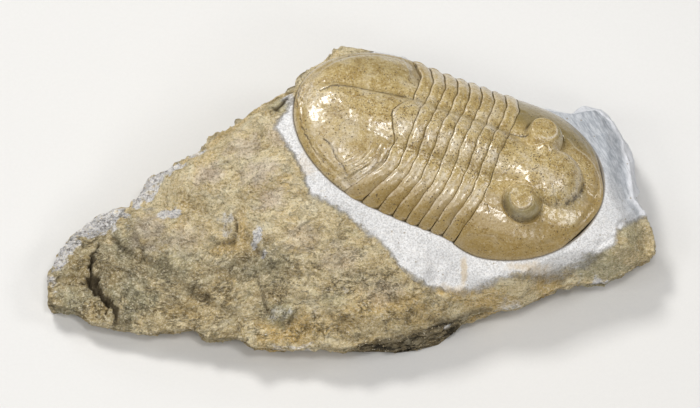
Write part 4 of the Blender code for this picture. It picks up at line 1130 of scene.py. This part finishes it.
def tail_relief(x, y):
    radial = np.hypot((TAIL_CENTRE - x) / TAIL_REACH, y / TAIL_HALF_WIDTH)
    side = y / np.maximum(half_width(x), 0.05)
    behind = joint_line(SEGMENTS, side) - x
    wide = smooth_step(0.5, 0.7, np.abs(side))
    facet = (1.0 - smooth_step(0.0, FACET_WIDTH, behind)) * wide
    bevel = FACET_DEPTH * facet * (1.0 - smooth_step(0.9, 1.0, radial))
    border = np.exp(-(((radial - BORDER_AT) / BORDER_SPREAD) ** 2))
    depth, dark = cracked(TAIL_CRACKS, x, y)
    ridge = 0.22 * np.exp(-(((behind - FACET_WIDTH * 0.62) / 0.5) ** 2)) * wide
    z = shell_height(x, y) - bevel - BORDER_DEPTH * border - depth + ridge
    lip = np.exp(-((behind / 0.11) ** 2))
    creased = smooth_step(9.0, 2.0, behind) * smooth_step(0.32, 0.45, -side)
    creased = creased * smooth_step(0.95, 0.80, -side)
    folds = speckle(np.stack((behind, y, 0.0 * x), axis=1), (0.95, 6.0, 1.0), 3, 0.9)
    wrinkle = np.clip(3.2 * folds, -1.0, 1.0) * creased
    z = z - 0.12 * lip + 0.13 * wrinkle
    margin = from_margin(x, y)
    worn = smooth_step(0.35, 0.75, radial) * smooth_step(24.0, 12.0, x) * smooth_step(5.0, -5.0, y)
    known = {"pits": 0.42 + 0.38 * over_lobe(x, y), "rim": margin, "lined": 0.4 + 0.0 * x,
             # Painted shade: the troughs of the wrinkles are darkened.
             "dark": np.maximum(np.maximum(dark, 0.9 * lip), -0.35 * wrinkle) + 0.12 * border,
             "olive": 0.30 * smooth_step(6.0, 15.0, y), "furrow": beside_lobe(x, y),
             # Painted shade: the tail's margin band and its near side are darkened.
             "tanned": np.maximum(0.6 * smooth_step(4.0, 0.6, margin),
                                  0.40 * smooth_step(-5.0, -13.0, y)),
             # Painted highlight: pale on the front facets and the wrinkle crests, and a paler rear.
             "pale": np.maximum(0.40 * facet * (radial < 0.97), 0.20 * worn * (radial < 0.90))
             + 0.55 * np.maximum(wrinkle, 0.0)}
    return z, known


shell = shell_finish()
tail_mesh = shield("tail_shield", TAIL_FACETS, shield_place(SEGMENTS, TAIL_CENTRE, -TAIL_REACH),
                   tail_relief)
tail_mesh.materials.append(shell)
tail = bpy.data.objects.new("tail_shield", tail_mesh)
bpy.context.scene.collection.objects.link(tail)
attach(tail, "root")
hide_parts("pygidium")

# ---------------------------------------------------------------------------------------------
# The thorax. Eight rings of shell that once slid under each other. Each is one plate that
# arches over the axis, dips into the two furrows and bends down past the fulcrum to its tips.
# ---------------------------------------------------------------------------------------------
BAND_RISE = 0.32
RING_OVERLAP = 0.42
TIP_TUCK = 0.45
RING_EDGE = 0.13             # how far the rounded edges of a ring fall towards its joints
RING_BULGE = 0.45            # how far a ring's flank stands out between its joints
PLEURAL_FURROW = 0.16        # the shallow groove across each flank
RING_DENTS = 0.5             # of the weathered surface, over a whole ring
RING_FACETS = (240, 28)


def ring_tree():
    tree = bpy.data.node_groups.new("thoracic_ring", "GeometryNodeTree")
    sizes = {"Ring": 1.0, "Neck": NECK, "Pitch": SEGMENT_PITCH, "Gap": JOINT_GAP,
             "Neck bow": BOW[0], "Tail bow": BOW[1], "Neck sweep": SWEEP[0],
             "Tail sweep": SWEEP[1], "Skew": SKEW, "Furrow": FURROW_AT, "Fulcrum": FULCRUM_AT,
             "Fulcrum round": FULCRUM_ROUND, "Band rise": BAND_RISE, "Overlap": RING_OVERLAP,
             "Tip tuck": TIP_TUCK, "Edge": RING_EDGE, "Flank furrow": PLEURAL_FURROW, "Bed": BED}
    for name, value in sizes.items():
        made = tree.interface.new_socket(name=name, in_out="INPUT", socket_type="NodeSocketFloat")
        made.default_value = value
    tree.interface.new_socket(name="Finish", in_out="INPUT", socket_type="NodeSocketMaterial")
    tree.interface.new_socket(name="Plate", in_out="OUTPUT", socket_type="NodeSocketGeometry")
    web = Web(tree)
    given = tree.nodes.new("NodeGroupInput").outputs
    size = {socket.name: Signal(web, socket) for socket in given if socket.name}

    def station_curve(stations, x):
        """A table of (station, value) read at x, as a curve of short straight runs."""
        at = np.linspace(0.0, 1.0, 65)
        values = through(stations, at * LENGTH) / LENGTH
        points = [(float(a), float(v) + 0.1) for a, v in zip(at, values)]
        curve = web.node("ShaderNodeFloatCurve", {"points": points}, {"Value": x / LENGTH})
        return (curve - 0.1) * LENGTH

    def joint(index, side):
        share = index / SEGMENTS
        bow = size["Neck bow"] + size["Tail bow"] * share ** 18.0
        sweep = size["Neck sweep"] + size["Tail sweep"] * share ** 4.0
        sweep = sweep - FAR_EASE * share ** 2.2 * side.step(0.0, 0.001)
        out = abs(side)
        arc = bow * (1.0 - (out / size["Furrow"]) ** 2.0).clip() ** 1.5
        fulcrum = size["Fulcrum"] + FULCRUM_LEAN * side.math("SIGN", side)
        past = (out - fulcrum) / (1.0 - fulcrum)
        fall = sweep * (past + (past * past + size["Fulcrum round"]) ** 0.5) * 0.5
        stray = WANDER[0] * side.math("SINE", 13.0 * side + 2.1 * index) * (1.0 - out)
        stray = stray + WANDER[1] * side.math("SINE", 31.0 * side + 5.3 * index)
        return size["Neck"] - size["Pitch"] * index - arc - fall + size["Skew"] * side + stray

    def width(x):
        tail_end = ((TAIL_CENTRE - x) / TAIL_REACH).clip()
        tail_half = TAIL_HALF_WIDTH * (1.0 - tail_end * tail_end) ** 0.5
        grow = ((x - TAIL_CENTRE) / (NECK - TAIL_CENTRE)).clip()
        widen = (THORAX_HALF_WIDTH - TAIL_HALF_WIDTH) * grow
        reach = (x - HEAD_CENTRE) / (LENGTH - HEAD_CENTRE)
        head_half = HEAD_HALF_WIDTH * (1.0 - reach * reach).clip() ** 0.5
        behind = tail_half + widen
        return behind + (head_half - behind) * x.step(NECK - 7.0, NECK - 4.0)

    grid = {"Size X": 2.0, "Size Y": 1.0, "Vertices X": RING_FACETS[0] + 1,
            "Vertices Y": RING_FACETS[1] + 1}
    flat = web.node("GeometryNodeMeshGrid", {}, grid, "Mesh")
    place = web.node("GeometryNodeInputPosition")
    side = web.node("ShaderNodeSeparateXYZ", {}, (place,), "X")
    even = web.node("ShaderNodeSeparateXYZ", {}, (place,), "Y") + 0.5
    share = even - 0.12 * even.math("SINE", even * (2.0 * pi))
    out = abs(side)
    front = joint(size["Ring"] - 1.0, side) - size["Gap"] * 0.5
    rear = joint(size["Ring"], side) + size["Gap"] * 0.5
    x = rear + (front - rear) * share
    at_tip = out.step(0.85, 1.0)
    tuck = size["Tip tuck"] * share * share * at_tip * (1.0 - side.step(0.2, 0.6))
    swell = share.math("SINE", share * pi)
    far = side.step(0.2, 0.6)
    plump = RING_BULGE * (1.0 + 0.4 * far) * (swell - 0.3 + 0.2 * far) * out.step(0.62, 0.95)
    y = side * (width(x) - tuck + plump)
    margin = station_curve(MARGIN_RISE, x)
    span = (abs(y) / width(x)).clip()
    arch = (1.0 - span ** 3.2).clip() ** 0.8
    z = margin + (station_curve(CREST, x) - margin) * arch
    lobe = abs(y) / station_curve(LOBE_HALF_WIDTH, x)
    over = 1.0 - lobe ** LOBE_FLATNESS
    rise = station_curve(LOBE_RISE, x) * (1.0 - RIGHT_SAG * y.step(0.0, -6.5))
    z = z + rise * ((over + (over * over + LOBE_FOOT) ** 0.5) * 0.5) ** 0.8
    dip = (lobe - FURROW_AT_LOBE[0]) / FURROW_AT_LOBE[1]
    z = z - FURROW_DEPTH * dip.bell()
    over_axis = 1.0 - (out / size["Furrow"]).step(0.7, 1.1)
    even_top = 1.0 - (abs(share * 2.0 - 1.0)) ** 3.0
    band = size["Band rise"] * (1.0 + 0.5 * over_axis + 0.9 * far) * even_top
    band = band + size["Overlap"] * (0.5 - share)
    inner = (1.0 - out.step(0.9, 1.0))
    z = z + band * inner
    rear_edge = (share / 0.024).bell()
    front_edge = ((1.0 - share) / 0.020).bell()
    z = z - size["Edge"] * (rear_edge + front_edge)
    flank = out.step(0.34, 0.42) * (1.0 - out.step(0.60, 0.74))
    groove = (share - 0.80 + 0.9 * (out - 0.34)) / 0.13
    z = z - size["Flank furrow"] * flank * groove.bell()
    facet = share.step(0.40, 0.95) * out.step(0.60, 0.78) * inner
    z = z - 0.28 * facet * (1.0 - far)
    spot = web.node("ShaderNodeCombineXYZ", {}, (x, y, size["Ring"]))
    dents = web.grain(spot, 2.6, 4.0, 0.55) - 0.5
    z = z + RING_DENTS * dents * out.step(1.0, 0.93)
    shape = web.node("ShaderNodeCombineXYZ", {}, (x, y, z))

    def store(mesh, name, value, kind="FLOAT"):
        settings = {"data_type": kind, "domain": "POINT"}
        return web.node("GeometryNodeStoreNamedAttribute", settings,
                        {"Geometry": mesh, "Name": name, "Value": value}, "Geometry")

    lines = (rear_edge * 0.9).most(front_edge * 0.9)
    margin_in = (1.0 - out) * THORAX_HALF_WIDTH
    plate = store(flat, "body", shape, "FLOAT_VECTOR")
    plate = store(plate, "pits", 0.34 + 0.60 * (1.0 - lobe.step(0.95, 1.5)) + 0.30 * dip.bell())
    # Painted shade: the furrows beside the axis, more on the far side.
    plate = store(plate, "furrow", dip.bell() * (0.3 + 0.7 * far))
    plate = store(plate, "lined", 0.0 * out)
    plate = store(plate, "dark", lines * (0.75 + 0.25 * out.step(0.4, 0.8)))
    plate = store(plate, "olive", 0.0 * out)
    # Painted highlight: a glint behind each front edge, a pale bloom on the near flank and pale streaks on
    # the near side of the axis.
    edge_glint = ((share - 0.09) / 0.05).bell() * (1.0 - 0.6 * at_tip)
    flank_highlight = out.step(0.42, 0.52) * out.step(0.74, 0.60) * side.step(0.05, -0.05) * swell
    ring_highlight = ((lobe * side.math("SIGN", side) + 0.40) / 0.24).bell() * swell
    plate = store(plate, "pale", (0.35 * edge_glint + 0.45 * flank_highlight + 0.55 * ring_highlight).clip())
    # Painted shade: the outer flanks are darkened, more on the near side.
    plate = store(plate, "tanned", out.step(0.46, 0.80) * (1.1 - 0.85 * far))
    plate = store(plate, "rim", margin_in)
    upper = web.node("GeometryNodeSetPosition", {}, {"Geometry": plate, "Position": shape})
    walls = tree.nodes.new("GeometryNodeExtrudeMesh")
    tree.links.new(upper.socket, walls.inputs["Mesh"])
    walls.inputs["Offset Scale"].default_value = -0.2
    walls.inputs["Individual"].default_value = False
    own = web.node("GeometryNodeInputPosition")
    own_x = web.node("ShaderNodeSeparateXYZ", {}, (own,), "X")
    own_y = web.node("ShaderNodeSeparateXYZ", {}, (own,), "Y")
    under = web.node("ShaderNodeCombineXYZ", {}, (own_x, own_y * 0.985, size["Bed"]))
    lower = web.node("GeometryNodeSetPosition", {}, {
        "Geometry": Signal(web, walls.outputs["Mesh"]),
        "Selection": Signal(web, walls.outputs["Top"]), "Position": under})
    lower = web.node("GeometryNodeFlipFaces", {}, {"Mesh": lower})
    joined = tree.nodes.new("GeometryNodeJoinGeometry")
    tree.links.new(lower.socket, joined.inputs["Geometry"])
    tree.links.new(upper.socket, joined.inputs["Geometry"])
    merged = web.node("GeometryNodeMergeByDistance", {}, {
        "Geometry": Signal(web, joined.outputs["Geometry"]), "Distance": 0.0005})
    real = web.node("GeometryNodeRealizeInstances", {}, {"Geometry": merged})
    done = web.node("GeometryNodeSetMaterial", {}, {"Geometry": real, "Material": size["Finish"]})
    web.node("NodeGroupOutput", {}, (done,))
    return tree


ring_maker = ring_tree()
for number in range(1, SEGMENTS + 1):
    blank = bpy.data.meshes.new("ring_blank")
    ring_mesh = grown("ring_blank", blank, ring_maker, {"Ring": float(number), "Finish": shell})
    soft = bmesh.new()
    soft.from_mesh(ring_mesh)
    flat_bed = [face for face in soft.faces if all(abs(v.co.z - BED) < 1e-4 for v in face.verts)]
    bmesh.ops.dissolve_faces(soft, faces=flat_bed, use_verts=False)
    soft.to_mesh(ring_mesh)
    soft.free()
    ring_mesh.shade_smooth()
    into_the_bed(ring_mesh)
    ring = bpy.data.objects.new(f"thorax_ring_{number}", ring_mesh)
    bpy.context.scene.collection.objects.link(ring)
    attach(ring, "root")
    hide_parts(f"thoracic_segment_{number}")

# ---------------------------------------------------------------------------------------------
# The head shield. One plate with the swollen glabella between two turret eyes, each a flat lid
# over a band of lenses, the cheeks with fine lines along their rim, and the facial suture.
# ---------------------------------------------------------------------------------------------
EYE_STATION = 60.9
EYE_OFFSET = 10.4
EYE_LID_RADIUS = (2.7, 3.3)   # of the right and the left one
EYE_RISE = 3.3
EYE_LID_DOME = 0.22
EYE_FOOT = (0.7, -0.9)       # its centre from the lid's, forwards and outwards
EYE_FOOT_RADIUS = (4.8, 4.7)
EYE_INNER_REACH = 1.45       # how much further it spreads towards the axis
EYE_GROOVE = 0.50
HEAD_FACETS = (280, 200)
HEAD_CRACKS = (
    (((64.0, 7.4), (66.2, 6.9), (69.6, 5.7), (72.6, 4.5), (74.3, 2.6)), 0.05, 0.16, 0.35),
    (((74.2, 2.2), (74.3, 0.6), (73.9, -1.8), (72.8, -4.2), (71.9, -5.5)), 0.50, 0.42, 1.0),
    (((71.0, -6.4), (67.8, -7.9), (65.2, -7.6)), 0.05, 0.14, 0.3),
    (((67.0, -3.8), (68.0, -5.4), (70.0, -7.4)), 0.10, 0.18, 0.6),
    (((52.8, 6.6), (53.8, 7.0), (55.4, 7.2), (57.4, 7.8)), 0.30, 0.20, 0.9),
    (((50.6, -16.6), (51.6, -14.4), (53.4, -13.2), (54.6, -14.6)), 0.05, 0.12, 0.5),
    (((49.6, -11.8), (51.4, -12.2), (52.8, -11.4)), 0.05, 0.12, 0.6),
    (((51.0, -20.6), (54.6, -19.4), (58.0, -18.9), (61.0, -19.4)), 0.03, 0.10, 0.3),
)
SUTURE = ((66.0, 13.0), (69.6, 10.9), (72.4, 10.4), (75.2, 9.2), (77.1, 7.2), (78.6, 4.0),
          (79.2, 1.6))


def eye_relief(x, y):
    """A squat turret: a lid with a fine rim, a bulging band of lenses, a groove at its foot."""
    along = x - EYE_STATION
    across = np.abs(y) - EYE_OFFSET
    reach = np.hypot(along, across)
    foot_across = across - EYE_FOOT[1]
    foot_across = np.where(foot_across < 0.0, foot_across / EYE_INNER_REACH, foot_across)
    foot_reach = np.hypot((along - EYE_FOOT[0]) / EYE_FOOT_RADIUS[0],
                          foot_across / EYE_FOOT_RADIUS[1])
    inner = smooth_step(0.30, -0.80, across / np.maximum(reach, 0.01))
    lid_radius = np.where(y < 0.0, *EYE_LID_RADIUS)
    past_lid = np.maximum(reach - lid_radius, 0.0)
    to_foot = (1.0 - foot_reach) * EYE_FOOT_RADIUS[0]
    share = np.clip(past_lid / np.maximum(past_lid + to_foot, 0.05), 0.0, 1.0)
    share = np.where(foot_reach > 1.0, 1.0, share)
    bulging = np.sqrt(np.clip(1.0 - share**2.2, 0.0, 1.0))
    easing = 1.0 - smooth_step(0.0, 1.0, share)
    wall = bulging * (1.0 - inner) + easing * inner
    lid = np.clip(reach / lid_radius, 0.0, 1.0)
    outer = 1.0 - inner
    dome = EYE_LID_DOME * (1.0 - lid**2)
    lid_rim = 0.13 * np.exp(-(((reach - lid_radius + 0.2) / 0.25) ** 2)) * outer
    lens_top = 0.20 * np.exp(-(((reach - lid_radius - 0.18) / 0.16) ** 2)) * outer
    groove = EYE_GROOVE * np.exp(-(((to_foot + 0.15) / 0.32) ** 2)) * (1.0 - inner)
    height = (EYE_RISE - EYE_LID_DOME) * wall + dome + lid_rim - lens_top - groove
    lenses = smooth_step(0.0, 0.3, reach - lid_radius)
    lenses = lenses * smooth_step(-0.3, 0.2, to_foot) * outer
    # Painted shade: a dark line in the groove at the eye's foot and under the lid's rim.
    groove_shade = np.exp(-(((to_foot + 0.05) / 0.24) ** 2)) * outer
    under_lid_shade = 0.5 * np.exp(-(((reach - lid_radius - 0.2) / 0.18) ** 2)) * outer**2
    facing = (0.8 * along + 0.6 * np.abs(across) * np.sign(-y) * np.sign(across))
    # Painted highlight: a pale crescent on the lid's rim, where it faces forwards and out.
    lid_glint = np.exp(-(((reach - lid_radius + 0.30) / 0.24) ** 2))
    lid_glint = lid_glint * smooth_step(0.1, 0.8, facing / np.maximum(reach, 0.01))
    return height, lenses * 0.8, np.maximum(groove_shade, under_lid_shade), lid_glint


def head_relief(x, y):
    eye, lenses, groove_shade, lid_glint = eye_relief(x, y)
    depth, dark = cracked(HEAD_CRACKS, x, y)
    seam = path_distance(SUTURE, x, y)
    ridge = np.exp(-((seam / 0.20) ** 2)) * smooth_step(5.0, 6.5, np.hypot(x - EYE_STATION,
                                                                          np.abs(y) - EYE_OFFSET))
    in_front = x - joint_line(0, y / np.maximum(half_width(x), 0.05))
    lip = np.exp(-((in_front / 0.11) ** 2))
    nape = np.exp(-(((in_front - 3.2) / 0.7) ** 2)) * smooth_step(7.0, 5.5, np.abs(y))
    margin = from_margin(x, y)
    border = np.exp(-(((margin - 1.7) / 0.5) ** 2)) * smooth_step(62.0, 70.0, x)
    z = shell_height(x, y) + eye - depth + 0.07 * ridge - 0.12 * lip - 0.14 * nape
    z = z - 0.16 * border
    glabella = np.clip(1.0 - (y / through(GLABELLA_HALF_WIDTH, x)) ** 2, 0.0, 1.0)
    raised = smooth_step(0.0, 0.25, glabella) * smooth_step(76.0, 74.0, x)
    round_it = smooth_step(0.45, 0.05, glabella) * smooth_step(0.0, 0.02, glabella)
    cheek = smooth_step(7.5, 13.0, np.abs(y)) * (1.0 - np.clip(eye, 0.0, 1.0))
    cheek = np.maximum(cheek, smooth_step(74.5, 76.5, x))
    # Painted highlight: a pale patch on top of the glabella.
    glabella_highlight = np.exp(-(((x - 66.5) / 3.0) ** 2) - ((y + 2.8) / 1.8) ** 2)
    known = {"pits": 0.30 + 0.55 * raised + 0.45 * round_it * raised, "rim": margin,
             # Painted shade: the cheeks are darkened.
             "tanned": 1.1 * cheek,
             # Painted shade: the eye's groove and the underside of its lid are darkened along with the joint
             # line and cracks.
             "dark": np.maximum(dark, np.maximum(0.9 * lip, 0.80 * groove_shade)),
             "furrow": np.maximum(beside_lobe(x, y) * 0.5, 0.4 * border),
             "lined": 1.0 + 0.0 * x,
             "olive": np.maximum(lenses, 0.80 * cheek * smooth_step(6.0, 14.0, y)),
             "pale": np.maximum(np.maximum(0.55 * ridge, 0.85 * lid_glint), 0.5 * glabella_highlight)}
    return z, known


head_mesh = shield("head_shield", HEAD_FACETS, shield_place(0, HEAD_CENTRE, LENGTH - HEAD_CENTRE),
                   head_relief)
head_mesh.materials.append(shell)
head = bpy.data.objects.new("head_shield", head_mesh)
bpy.context.scene.collection.objects.link(head)
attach(head, "root")
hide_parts("cephalon")
